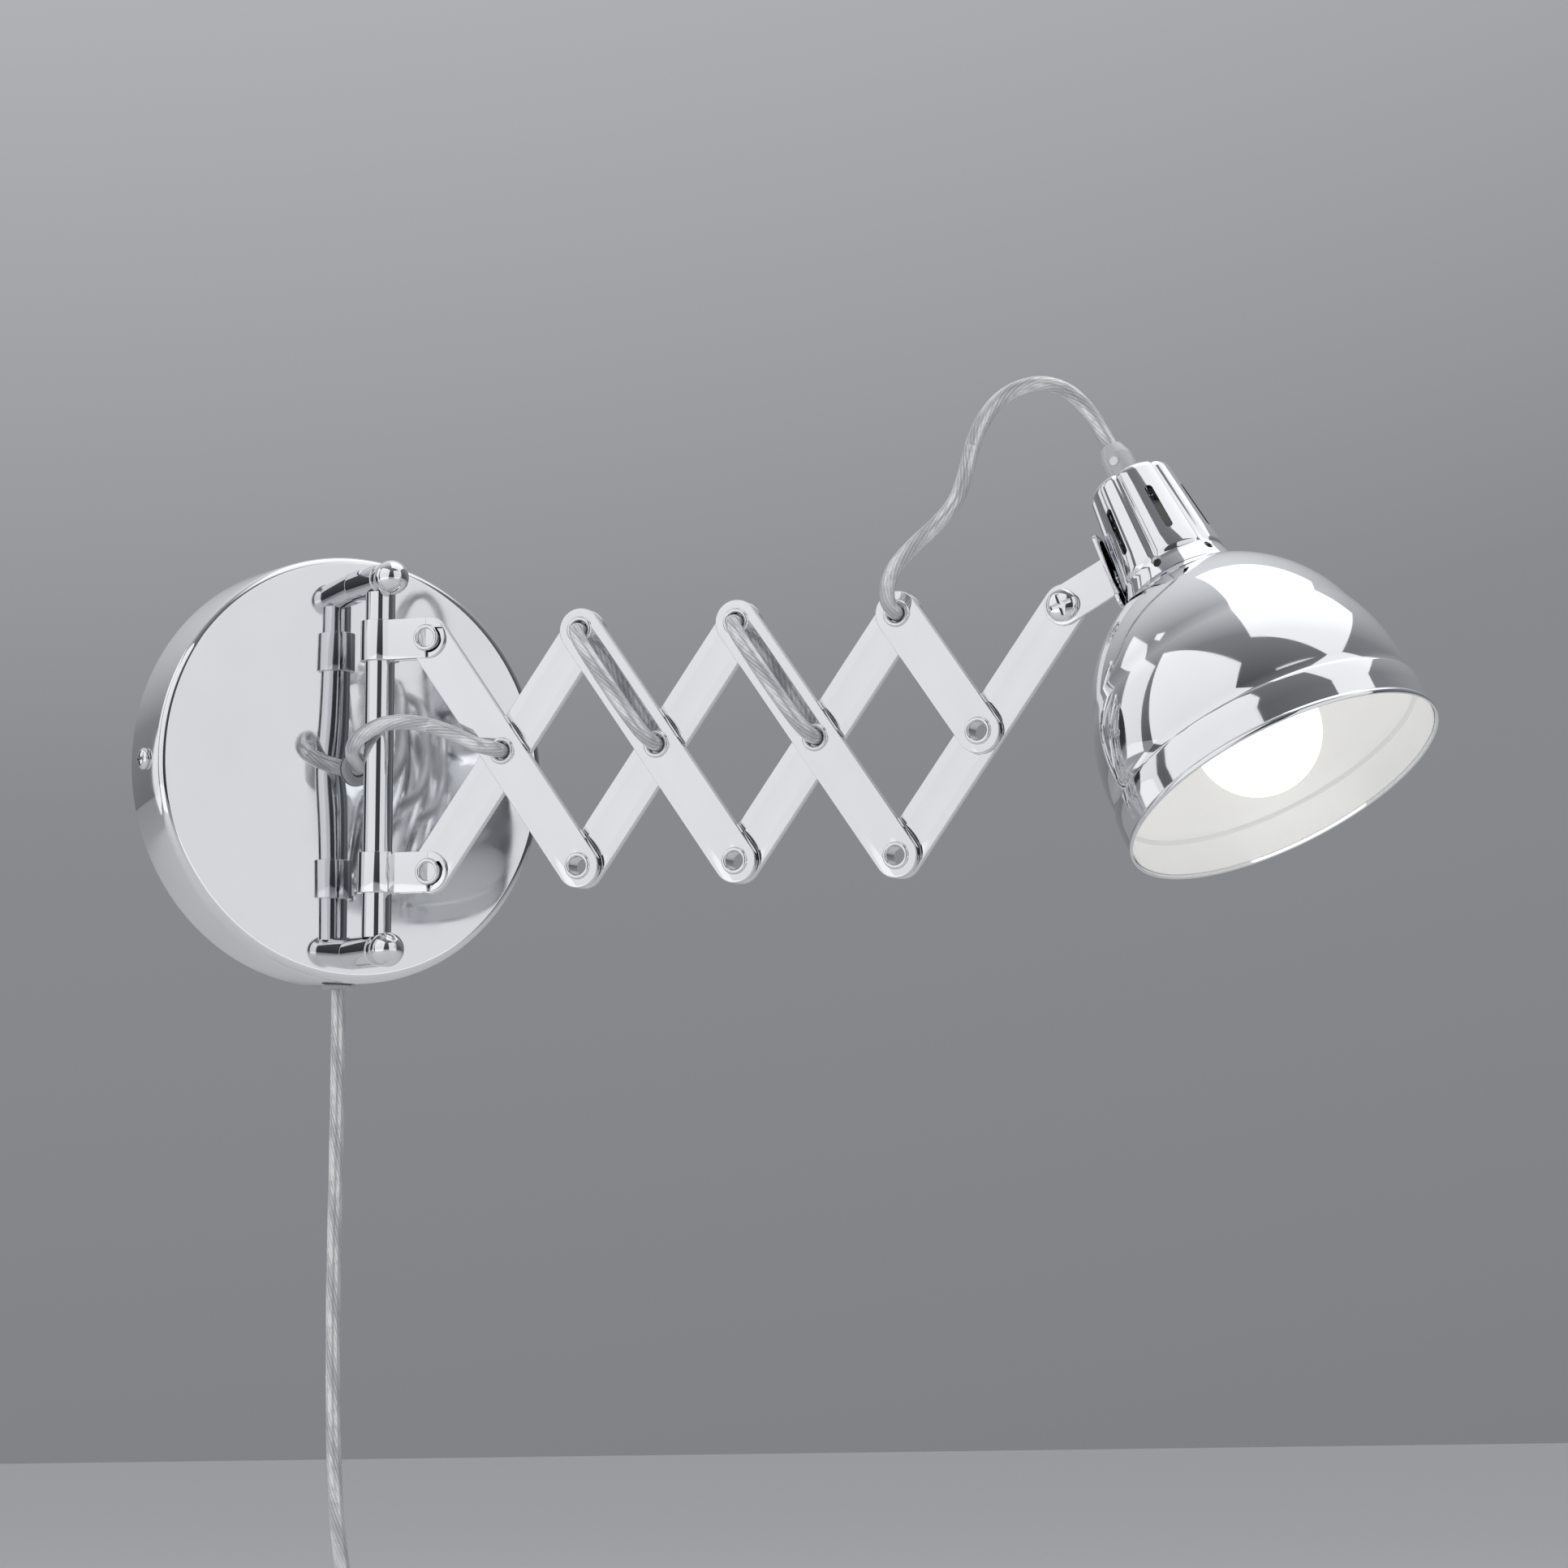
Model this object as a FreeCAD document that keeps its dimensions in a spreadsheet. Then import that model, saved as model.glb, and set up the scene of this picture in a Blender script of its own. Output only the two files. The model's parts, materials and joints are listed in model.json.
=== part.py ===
"""Chrome accordion wall lamp: a round canopy with a post between two standoffs, a scissor arm of
riveted strips that folds, swivels and slides on the post, and a tilting head with a spun shade.

Millimetres. The origin is the centre of the canopy's back, on the wall; +Z is up, +X is to the right
and the lamp stands out from the wall towards -Y. The arm is modelled in the photographed pose.
"""
import FreeCAD, Part
import math
import os
import Sketcher
from FreeCAD import Placement, Rotation, Vector

SIZES = [
    ("canopy_radius", 80.0),
    ("canopy_depth", 25.0),
    ("canopy_edge", 3.5),
    ("canopy_sheet", 1.0),
    ("side_screw_depth", 12.0),
    ("side_screw_radius", 1.95),
    ("side_screw_length", 7.0),
    ("side_screw_head_radius", 4.0),
    ("side_screw_head_height", 2.4),
    ("wall_strip_sheet", 2.0),
    ("wall_strip_width", 22.0),
    ("wall_strip_half_length", 70.0),
    ("lug_width", 14.0),
    ("lug_depth", 18.0),
    ("slot_spacing", 60.0),
    ("slot_radius", 2.5),
    ("slot_travel", 7.0),
    ("terminal_length", 32.0),
    ("terminal_depth", 12.0),
    ("terminal_height", 18.0),
    ("standoff_inset", 11.0),
    ("standoff_radius", 6.0),
    ("standoff_reach", 20.5),
    ("groove_radius", 5.0),
    ("groove_width", 1.2),
    ("ball_radius", 6.4),
    ("ball_reach", 26.5),
    ("stud_radius", 2.95),
    ("stud_length", 9.0),
    ("stud_nut_flats", 10.0),
    ("stud_nut_height", 4.0),
    ("post_reach", 18.0),
    ("post_radius", 5.5),
    ("post_seat", 1.2),
    ("spigot_radius", 3.0),
    ("spigot_length", 5.5),
    ("collar_height", 15.0),
    ("collar_strip", 1.1),
    ("bush_wall", 0.5),
    ("arm_offset", 21.0),
    ("arm_drop", 23.0),
    ("swivel_angle", 54.0),
    ("fold_angle", 54.5),
    ("bar_pitch", 53.0),
    ("bar_width", 16.0),
    ("bar_sheet", 3.0),
    ("layer_gap", 0.8),
    ("spacer_radius", 6.0),
    ("eyelet_bore", 3.2),
    ("eyelet_radius", 3.8),
    ("eyelet_flange_radius", 5.0),
    ("eyelet_flange_height", 0.9),
    ("end_screw_radius", 2.5),
    ("end_screw_head_radius", 5.9),
    ("end_screw_head_height", 3.4),
    ("end_nut_flats", 8.0),
    ("end_nut_height", 4.0),
    ("shade_lean", 28.7),
    ("shade_twist", 8.0),
    ("head_offset", 39.0),
    ("head_setback", 8.3),
    ("tilt_rise", 15.5),
    ("bracket_sheet", 1.5),
    ("bracket_tab_width", 14.0),
    ("bracket_plate_width", 18.9),
    ("bracket_plate_lift", 4.0),
    ("bracket_plate_height", 28.0),
    ("bracket_screw_radius", 2.0),
    ("bracket_screw_head_radius", 3.6),
    ("bracket_screw_head_height", 2.2),
    ("neck_base", 84.0),
    ("neck_height", 45.0),
    ("neck_top_radius", 15.2),
    ("neck_taper", 6.5),
    ("neck_sheet", 0.8),
    ("neck_shoulder", 2.0),
    ("neck_groove", 1.5),
    ("lobe_start", 7.0),
    ("lobe_count", 6),
    ("skirt_height", 9.0),
    ("skirt_flare", 0.6),
    ("vent_radius", 1.5),
    ("neck_slot_length", 19.0),
    ("neck_slot_width", 2.8),
    ("neck_slot_rise", 24.5),
    ("holder_thread_radius", 14.0),
    ("holder_thread_length", 24.0),
    ("holder_flange_radius", 16.6),
    ("holder_flange_height", 2.6),
    ("holder_body_radius", 12.0),
    ("holder_body_length", 28.0),
    ("holder_bore_depth", 26.0),
    ("shade_ring_radius", 20.0),
    ("shade_ring_height", 6.0),
    ("shade_sheet", 0.8),
    ("enamel", 0.3),
    ("shade_top_radius", 20.5),
    ("knee_inset", 7.6),
    ("shade_knee_height", 49.0),
    ("shade_knee_slope", 25.0),
    ("shade_upper_curve", 57.0),
    ("shade_lower_curve", 62.0),
    ("waist_inset", 1.8),
    ("band_height", 14.5),
    ("band_step", 1.4),
    ("mouth_radius", 57.6),
    ("bulb_radius", 22.5),
    ("bulb_tip", 0.5),
    ("bulb_neck_radius", 14.5),
    ("bulb_cap_radius", 6.9),
    ("bulb_cap_length", 24.0),
    ("bulb_length", 78.0),
    ("gland_radius", 5.9),
    ("gland_thread_radius", 4.9),
    ("gland_height", 15.5),
    ("gland_tip_radius", 4.0),
    ("gland_screw_radius", 1.6),
    ("cord_radius", 2.8),
    ("cord_bore_play", 0.15),
    ("grommet_radius", 6.5),
    ("grommet_lip", 1.5),
    ("mains_depth", 13.0),
    ("loop_radius", 33.5),
    ("loop_pitch", 6.1),
    ("loop_turns", 5.9),
    ("tail_length", 34.0),
    ("tie_sheet", 1.0),
    ("tie_width", 8.0),
    ("plug_length", 34.0),
    ("plug_width", 26.0),
    ("plug_thickness", 12.0),
    ("plug_corner", 4.0),
    ("plug_rear_corner", 3.0),
    ("plug_relief_length", 14.0),
    ("plug_pin_radius", 2.0),
    ("plug_pin_length", 19.0),
    ("plug_pin_spacing", 18.6),
    ("running_play", 0.05),
    ("free_play", 0.3),
    ("hole_play", 0.1),
]


class Size:
    """A number with the sheet formula that it comes from."""

    def __init__(self, value, text):
        self.value = float(value)
        self.text = text

    def join(self, other, sign, value):
        return Size(value, "({} {} {})".format(self.text, sign, as_size(other).text))

    def __add__(self, other):
        return self.join(other, "+", self.value + number(other))

    def __sub__(self, other):
        return self.join(other, "-", self.value - number(other))

    def __mul__(self, other):
        return self.join(other, "*", self.value * number(other))

    def __truediv__(self, other):
        return self.join(other, "/", self.value / number(other))

    def __radd__(self, other):
        return as_size(other) + self

    def __rsub__(self, other):
        return as_size(other) - self

    def __rmul__(self, other):
        return as_size(other) * self

    def __neg__(self):
        return 0 - self


def number(item):
    return item.value if isinstance(item, Size) else float(item)


def as_size(item):
    return item if isinstance(item, Size) else Size(item, "{:g}".format(item))


def cosine(angle):
    return Size(math.cos(math.radians(angle.value)), "cos({})".format(angle.text))


def sine(angle):
    return Size(math.sin(math.radians(angle.value)), "sin({})".format(angle.text))


def root(item):
    return Size(math.sqrt(item.value), "sqrt({})".format(item.text))


doc = FreeCAD.newDocument("accordion_lamp")
sheet = doc.addObject("Spreadsheet::Sheet", "sizes")


class Named:
    """The sheet's sizes by name."""


s = Named()
for row, (alias, value) in enumerate(SIZES, start=1):
    sheet.set("A{}".format(row), alias)
    sheet.set("B{}".format(row), str(value))
    sheet.setAlias("B{}".format(row), alias)
    setattr(s, alias, Size(value, "sizes." + alias))
doc.recompute()

X_AXIS = Vector(1, 0, 0)
Y_AXIS = Vector(0, 1, 0)
Z_AXIS = Vector(0, 0, 1)
H_LINE, V_LINE = range(-1, -3, -1)
START, END, CENTRE = range(1, 4)
FRONT = Rotation(X_AXIS, 90)
MARGIN = 1.0

sub_parts = {}


def keep(item, label, placement=None):
    """Name a sub-part and put it in its place."""
    item.Label = label
    if placement is not None:
        item.Placement = placement
    sub_parts[label] = item
    return item


def at(x=0, y=0, z=0, rotation=None):
    return Placement(Vector(number(x), number(y), number(z)), rotation or Rotation())


def bind(item, name, size):
    """Tie a property to the sheet."""
    item.setExpression(name, as_size(size).text)


def fix(sketch, kind, geometry, size):
    """Add a constraint with a size from the sheet."""
    index = sketch.addConstraint(Sketcher.Constraint(kind, *geometry, number(size)))
    if isinstance(size, Size):
        sketch.setExpression("Constraints[{}]".format(index), size.text)


def fix_point(sketch, edge, end, x, y):
    """Hold one end of an edge at a place that comes from the sheet."""
    for kind, size, line in (("DistanceX", x, V_LINE), ("DistanceY", y, H_LINE)):
        if isinstance(size, Size) or size != 0:
            fix(sketch, kind, (H_LINE, START, edge, end), size)
        else:
            sketch.addConstraint(Sketcher.Constraint("PointOnObject", edge, end, line))


def new_sketch(body, role, name, offset=0):
    """A sketch on one of the body's own origin planes."""
    sketch = body.newObject("Sketcher::SketchObject", name)
    plane = [item for item in body.Origin.OriginFeatures if item.Role == role][0]
    sketch.AttachmentSupport = [(plane, "")]
    sketch.MapMode = "FlatFace"
    if isinstance(offset, Size) or offset:
        bind(sketch, ".AttachmentOffset.Base.z", offset)
    return sketch


def outline(sketch, corners, arcs=None):
    """Closed outline through corners; an arc is {edge: (radius, side of its centre)}."""
    arcs = arcs or {}
    count = len(corners)
    starts = {}
    ends = {}
    for edge, corner in enumerate(corners):
        a = Vector(number(corner[0]), number(corner[1]), 0)
        following = corners[(edge + 1) % count]
        b = Vector(number(following[0]), number(following[1]), 0)
        starts[edge], ends[edge] = START, END
        if edge not in arcs:
            sketch.addGeometry(Part.LineSegment(a, b))
            continue
        radius, side = arcs[edge]
        chord = b - a
        left = Vector(-chord.y, chord.x, 0).normalize()
        rise = math.sqrt(number(radius) ** 2 - (chord.Length / 2) ** 2)
        centre = a + chord / 2 + left * rise * side
        first, last = (a, b) if side > 0 else (b, a)
        if side < 0:
            starts[edge], ends[edge] = END, START
        turn_from = math.atan2(first.y - centre.y, first.x - centre.x)
        turn_to = math.atan2(last.y - centre.y, last.x - centre.x)
        circle = Part.Circle(centre, Z_AXIS, number(radius))
        sketch.addGeometry(Part.ArcOfCircle(circle, turn_from, turn_to))
    for edge in range(count):
        after = (edge + 1) % count
        joint = Sketcher.Constraint("Coincident", edge, ends[edge], after, starts[after])
        sketch.addConstraint(joint)
    for edge, corner in enumerate(corners):
        fix_point(sketch, edge, starts[edge], *corner)
    for edge, (radius, side) in arcs.items():
        fix(sketch, "Radius", (edge,), radius)


def circle(sketch, x, y, radius):
    """A circle in a sketch."""
    centre = Vector(number(x), number(y), 0)
    edge = sketch.addGeometry(Part.Circle(centre, Z_AXIS, number(radius)))
    fix_point(sketch, edge, CENTRE, x, y)
    fix(sketch, "Radius", (edge,), radius)


def slot_outline(sketch, x_first, x_last, radius):
    """A strip with two round ends, along the sketch's X."""
    first, last, half = number(x_first), number(x_last), number(radius)
    top = Part.LineSegment(Vector(last, half, 0), Vector(first, half, 0))
    low = Part.LineSegment(Vector(first, -half, 0), Vector(last, -half, 0))
    ring_first = Part.Circle(Vector(first, 0, 0), Z_AXIS, half)
    ring_last = Part.Circle(Vector(last, 0, 0), Z_AXIS, half)
    base = sketch.addGeometry(low)
    sketch.addGeometry(Part.ArcOfCircle(ring_last, -math.pi / 2, math.pi / 2))
    sketch.addGeometry(top)
    sketch.addGeometry(Part.ArcOfCircle(ring_first, math.pi / 2, 3 * math.pi / 2))
    for edge in range(4):
        pair = (base + edge, END, base + (edge + 1) % 4, START)
        sketch.addConstraint(Sketcher.Constraint("Tangent", *pair))
    fix_point(sketch, base + 1, CENTRE, x_last, 0)
    fix_point(sketch, base + 3, CENTRE, x_first, 0)
    fix(sketch, "Radius", (base + 1,), radius)


def new_body(label):
    return doc.addObject("PartDesign::Body", label)


def pad(body, sketch, name, length, side="One side", reverse=False):
    """Pad a sketch."""
    feature = body.newObject("PartDesign::Pad", name)
    feature.Profile = sketch
    feature.SideType = side
    feature.Reversed = reverse
    bind(feature, "Length", length)
    return feature


def pocket(body, sketch, name, length=None):
    """Cut a sketch through everything, or as deep as length on both sides together."""
    before = body.Shape.Volume
    feature = body.newObject("PartDesign::Pocket", name)
    feature.Profile = sketch
    feature.SideType = "Symmetric"
    if length is None:
        feature.Type = "ThroughAll"
    else:
        bind(feature, "Length", length)
    doc.recompute()
    if body.Shape.Volume >= before - 1e-6:
        raise RuntimeError("nothing was cut by " + name)
    return feature


def turned(label, corners, arcs=None):
    """A turned piece: its profile in the XZ plane, spun about Z."""
    body = new_body(label + "_turned")
    sketch = new_sketch(body, "XZ_Plane", label + "_profile")
    outline(sketch, corners, arcs)
    feature = body.newObject("PartDesign::Revolution", label + "_turn")
    feature.Profile = sketch
    feature.ReferenceAxis = (sketch, ["V_Axis"])
    feature.Angle = 360
    return body


def rod(name, radius, length, placement):
    """A plain round bar whose middle is at the placement."""
    item = doc.addObject("Part::Cylinder", name)
    bind(item, "Radius", radius)
    bind(item, "Height", length)
    item.Placement = placement.multiply(at(z=-number(length) / 2))
    return item


def block(name, length, width, height, placement):
    """A box whose middle is at the placement."""
    item = doc.addObject("Part::Box", name)
    bind(item, "Length", length)
    bind(item, "Width", width)
    bind(item, "Height", height)
    middle = at(-number(length) / 2, -number(width) / 2, -number(height) / 2)
    item.Placement = placement.multiply(middle)
    return item


def cut(name, base, tools):
    """Take tools out of a base, one after another."""
    for index, tool in enumerate(tools, start=1):
        result = doc.addObject("Part::Cut", "{}_cut_{}".format(name, index))
        result.Base = base
        result.Tool = tool
        base = result
    return base


def fused(name, base, tool):
    result = doc.addObject("Part::Fuse", name + "_fused")
    result.Base = base
    result.Tool = tool
    return result


def shaped(name, shape):
    """A piece whose form is worked out below from the sheet's sizes."""
    item = doc.addObject("Part::Feature", name + "_form")
    item.Shape = shape
    return item


# ---------------------------------------------------------------- frames
post_y = -(s.canopy_depth + s.post_reach)
standoff_height = s.canopy_radius - s.standoff_inset
arm_height = standoff_height - s.arm_drop
arm_frame = at(y=post_y, rotation=Rotation(Z_AXIS, -s.swivel_angle.value))
rise = s.bar_pitch * sine(s.fold_angle)
run = s.bar_pitch * cosine(s.fold_angle)


def arm_at(columns, rows, y=0, rotation=None):
    """A place in the arm's plane: columns and rows of half bars from the upper collar's pivot."""
    place = at(s.arm_offset + run * columns, y, arm_height - rise * rows, rotation)
    return arm_frame.multiply(place)


PIVOTS = {
    "u": (0, 0), "l": (0, 2), "x1": (1, 1), "t1": (2, 0), "b1": (2, 2), "x2": (3, 1), "t2": (4, 0),
    "b2": (4, 2), "x3": (5, 1), "t3": (6, 0), "b3": (6, 2), "p4": (7, 1), "end": (8, 0),
}
tilt_frame = arm_at(*PIVOTS["end"], rotation=Rotation(Y_AXIS, -s.shade_lean.value))
head_drop = s.neck_base + s.tilt_rise
neck_top = s.neck_base + s.neck_height
twist = at(s.head_offset, s.head_setback, 0, Rotation(X_AXIS, -s.shade_twist.value))
shade_frame = tilt_frame.multiply(twist).multiply(at(z=-head_drop))

bar_front = s.layer_gap / 2 + s.bar_sheet
ear_gap = s.bar_sheet + 2 * s.running_play
layer_middle = s.layer_gap / 2 + s.bar_sheet / 2


# ---------------------------------------------------------------- canopy and wall strip
def make_canopy():
    inner_face = s.canopy_depth - s.canopy_sheet
    inner_side = s.canopy_radius - s.canopy_sheet
    bend = s.canopy_radius - s.canopy_edge
    shoulder = s.canopy_depth - s.canopy_edge
    hole = s.gland_thread_radius + s.hole_play
    corners = [
        (hole, inner_face), (bend, inner_face), (inner_side, shoulder), (inner_side, 0),
        (s.canopy_radius, 0), (s.canopy_radius, shoulder), (bend, s.canopy_depth),
        (hole, s.canopy_depth),
    ]
    arcs = {1: (s.canopy_edge - s.canopy_sheet, -1), 5: (s.canopy_edge, 1)}
    body = turned("canopy_shell", corners, arcs)
    studs = new_sketch(body, "XY_Plane", "canopy_stud_holes")
    circle(studs, 0, standoff_height, s.stud_radius + s.hole_play)
    circle(studs, 0, -standoff_height, s.stud_radius + s.hole_play)
    doc.recompute()
    pocket(body, studs, "canopy_stud_pocket")
    sides = new_sketch(body, "YZ_Plane", "canopy_side_holes")
    circle(sides, 0, s.side_screw_depth, s.side_screw_radius + s.hole_play)
    pocket(body, sides, "canopy_side_pocket")
    body.Placement = at(rotation=FRONT)
    hole_length = 4 * s.canopy_sheet
    mains = rod("canopy_mains_hole", hole, hole_length, at(0, -s.mains_depth, -s.canopy_radius))
    keep(cut("canopy_shell", body, [mains]), "canopy_shell")


def lug_outer():
    inner = s.canopy_radius - s.canopy_sheet
    return root(inner * inner - s.lug_width * s.lug_width / 4) - s.free_play


def make_wall_bracket():
    outer = lug_outer()
    inner = outer - s.wall_strip_sheet
    body = new_body("wall_bracket_strip")
    bent = new_sketch(body, "XY_Plane", "bracket_outline")
    back = -s.wall_strip_sheet
    outline(bent, [
        (-outer, 0), (-outer, -s.lug_depth), (-inner, -s.lug_depth), (-inner, back),
        (inner, back), (inner, -s.lug_depth), (outer, -s.lug_depth), (outer, 0),
    ])
    pad(body, bent, "bracket_bent_strip", s.lug_width, "Symmetric")
    wide = new_sketch(body, "XZ_Plane", "bracket_wide_outline")
    half = s.wall_strip_width / 2
    reach = s.wall_strip_half_length
    outline(wide, [(-reach, -half), (reach, -half), (reach, half), (-reach, half)])
    pad(body, wide, "bracket_wide_strip", s.wall_strip_sheet)
    doc.recompute()
    for side, word in ((-1, "left"), (1, "right")):
        slot = new_sketch(body, "XZ_Plane", "bracket_slot_" + word)
        middle = s.slot_spacing / 2 * side
        slot_outline(slot, middle - s.slot_travel / 2, middle + s.slot_travel / 2, s.slot_radius)
        pocket(body, slot, "bracket_slot_pocket_" + word)
    lugs = new_sketch(body, "YZ_Plane", "bracket_screw_holes")
    circle(lugs, -s.side_screw_depth, 0, s.side_screw_radius + s.running_play)
    pocket(body, lugs, "bracket_screw_pocket")
    keep(body, "wall_bracket")


def screw(label, radius, length, head_radius, head_height):
    """A round-headed screw: the head stands up +Z from the origin, the shank goes down."""
    dome = head_radius * 0.55
    return turned(label, [
        (0, -length), (radius, -length), (radius, 0), (head_radius, 0),
        (head_radius, head_height * 0.35), (dome, head_height), (0, head_height),
    ], {4: (head_radius * 0.8, 1)})


def make_canopy_screws():
    for side, word in ((-1, "left"), (1, "right")):
        label = "canopy_screw_" + word
        body = screw(label, s.side_screw_radius, s.side_screw_length, s.side_screw_head_radius,
                     s.side_screw_head_height)
        seat = (s.canopy_radius + s.running_play) * side
        keep(body, label, at(seat, -s.side_screw_depth, 0, Rotation(Y_AXIS, 90 * side)))


def make_terminal_block():
    middle = -(s.wall_strip_sheet + s.terminal_depth / 2)
    body = block("terminal_body", s.terminal_length, s.terminal_depth, s.terminal_height,
                 at(y=middle))
    entry = at(y=-(s.wall_strip_sheet + s.terminal_depth), rotation=FRONT)
    tools = [rod("terminal_entry", s.cord_radius + s.cord_bore_play, s.terminal_depth, entry)]
    for column in (-1, 1):
        for row in (-1, 1):
            place = at(s.terminal_length / 3 * column, middle - s.terminal_depth / 2,
                       s.terminal_height / 4 * row, FRONT)
            name = "terminal_hole_{}_{}".format(column + 2, row + 2)
            tools.append(rod(name, s.cord_radius * 0.8, s.terminal_depth, place))
    keep(cut("terminal_block", body, tools), "terminal_block")


def make_grommets():
    """Two rubber bushes that snap into the canopy's cord holes."""
    for label, place in (
        ("outlet_bush", at(y=-s.canopy_depth, rotation=FRONT)),
        ("mains_grommet", at(y=-s.mains_depth, z=-s.canopy_radius, rotation=Rotation(X_AXIS, 180))),
    ):
        bore = s.cord_radius + s.cord_bore_play
        inside = -(s.canopy_sheet + s.hole_play)
        rim = s.grommet_radius
        barrel = s.gland_thread_radius
        keep(turned(label, [
            (bore, inside - s.grommet_lip), (rim, inside - s.grommet_lip), (rim, inside - s.hole_play),
            (barrel, inside - s.hole_play), (barrel, s.free_play), (rim, s.free_play),
            (rim - s.grommet_lip / 2, s.grommet_lip + s.free_play),
            (bore, s.grommet_lip + s.free_play),
        ]), label, place)


# ---------------------------------------------------------------- standoffs and post
def make_post():
    seat = standoff_height - s.standoff_radius + s.post_seat
    tip = seat + s.spigot_length
    keep(turned("post", [
        (0, -tip), (s.spigot_radius, -tip), (s.spigot_radius, -seat), (s.post_radius, -seat),
        (s.post_radius, seat), (s.spigot_radius, seat), (s.spigot_radius, tip), (0, tip),
    ]), "post", at(y=post_y))


def make_standoffs():
    neck = root(s.ball_radius * s.ball_radius - s.groove_radius * s.groove_radius)
    for side, word in ((1, "top"), (-1, "bottom")):
        label = "standoff_" + word
        groove_end = s.standoff_reach + s.groove_width
        body = turned(label, [
            (0, -s.stud_length), (s.stud_radius, -s.stud_length), (s.stud_radius, 0),
            (s.standoff_radius, 0), (s.standoff_radius, s.standoff_reach),
            (s.groove_radius, s.standoff_reach), (s.groove_radius, s.ball_reach - neck),
            (s.ball_radius, s.ball_reach), (0, s.ball_reach + s.ball_radius),
        ], {6: (s.ball_radius, 1), 7: (s.ball_radius, 1)})
        height = standoff_height * side
        body.Placement = at(y=-s.canopy_depth, z=height, rotation=FRONT)
        seat = (standoff_height - s.standoff_radius + s.post_seat) * side
        seat_tool = rod(label + "_seat", s.post_radius + s.running_play, 2 * s.standoff_radius,
                        at(y=post_y, z=seat - s.standoff_radius * side))
        hole_tool = rod(label + "_spigot_hole", s.spigot_radius + s.running_play,
                        2 * (s.spigot_length + s.free_play), at(y=post_y, z=seat))
        keep(cut(label, body, [seat_tool, hole_tool]), label)
        nut = doc.addObject("Part::Prism", "stud_nut_" + word)
        nut.Polygon = 6
        bind(nut, "Circumradius", s.stud_nut_flats / 2 / cosine(Size(30, "30")))
        bind(nut, "Height", s.stud_nut_height)
        inner = -s.canopy_depth + s.canopy_sheet
        nut.Placement = at(y=inner + s.stud_nut_height, z=height, rotation=FRONT)
        bore = rod("stud_nut_bore_" + word, s.stud_radius + s.running_play,
                   4 * s.stud_nut_height, at(y=inner, z=height, rotation=FRONT))
        keep(cut("stud_nut_" + word, nut, [bore]), "standoff_nut_" + word)


# ---------------------------------------------------------------- collars
def make_collar(word, side, height):
    """A strip bent round the post, with two ears that hold a bar's end between them."""
    body = new_body("collar_{}_strip".format(word))
    bore = s.post_radius + s.running_play + s.bush_wall + s.running_play
    ring = new_sketch(body, "XY_Plane", "collar_ring_" + word)
    circle(ring, 0, 0, bore + s.collar_strip)
    pad(body, ring, "collar_ring_pad_" + word, s.collar_height, "Symmetric")
    middle = layer_middle * side
    ears = new_sketch(body, "XZ_Plane", "collar_ears_" + word, middle)
    half = s.collar_height / 2
    slot_outline(ears, 0, s.arm_offset, half)
    pad(body, ears, "collar_ears_pad_" + word, ear_gap + 2 * s.collar_strip, "Symmetric")
    doc.recompute()
    gap = new_sketch(body, "XZ_Plane", "collar_gap_" + word, middle)
    reach = s.arm_offset + s.bar_width
    tall = s.bar_width
    outline(gap, [(0, -tall), (reach, -tall), (reach, tall), (0, tall)])
    pocket(body, gap, "collar_gap_pocket_" + word, ear_gap)
    hole = new_sketch(body, "XY_Plane", "collar_bore_" + word)
    circle(hole, 0, 0, bore)
    pocket(body, hole, "collar_bore_pocket_" + word)
    rivet = new_sketch(body, "XZ_Plane", "collar_rivet_hole_" + word)
    circle(rivet, s.arm_offset, 0, s.eyelet_radius + s.running_play)
    pocket(body, rivet, "collar_rivet_pocket_" + word)
    keep(body, "collar_" + word, arm_frame.multiply(at(z=height)))
    place = arm_frame.multiply(at(z=height))
    bush = rod("bush_{}_outer".format(word), s.post_radius + s.running_play + s.bush_wall,
               s.collar_height, place)
    inside = rod("bush_{}_inner".format(word), s.post_radius + s.running_play,
                 2 * s.collar_height, place)
    keep(cut("collar_bush_" + word, bush, [inside]), "collar_bush_" + word)


# ---------------------------------------------------------------- scissor bars and eyelets
FULL = (0, 1, 2)
BARS = {
    "a": ("u", -1, "front", FULL, (1, 2), ()),
    "b": ("l", 1, "back", FULL, (), ()),
    "c": ("t1", -1, "front", FULL, (0, 1, 2), ()),
    "d": ("b1", 1, "back", FULL, (), ()),
    "e": ("t2", -1, "front", FULL, (0, 1, 2), ()),
    "f": ("b2", 1, "back", FULL, (), ()),
    "g": ("t3", -1, "front", (0, 1), (0, 1), ()),
    "h": ("b3", 1, "back", (0, 1), (), (2,)),
}


def bar_place(name):
    start, slope, layer = BARS[name][:3]
    lean = Rotation(Y_AXIS, -s.fold_angle.value * slope)
    y = -s.layer_gap / 2 if layer == "front" else bar_front
    return arm_at(*PIVOTS[start], y=y, rotation=lean)


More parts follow.
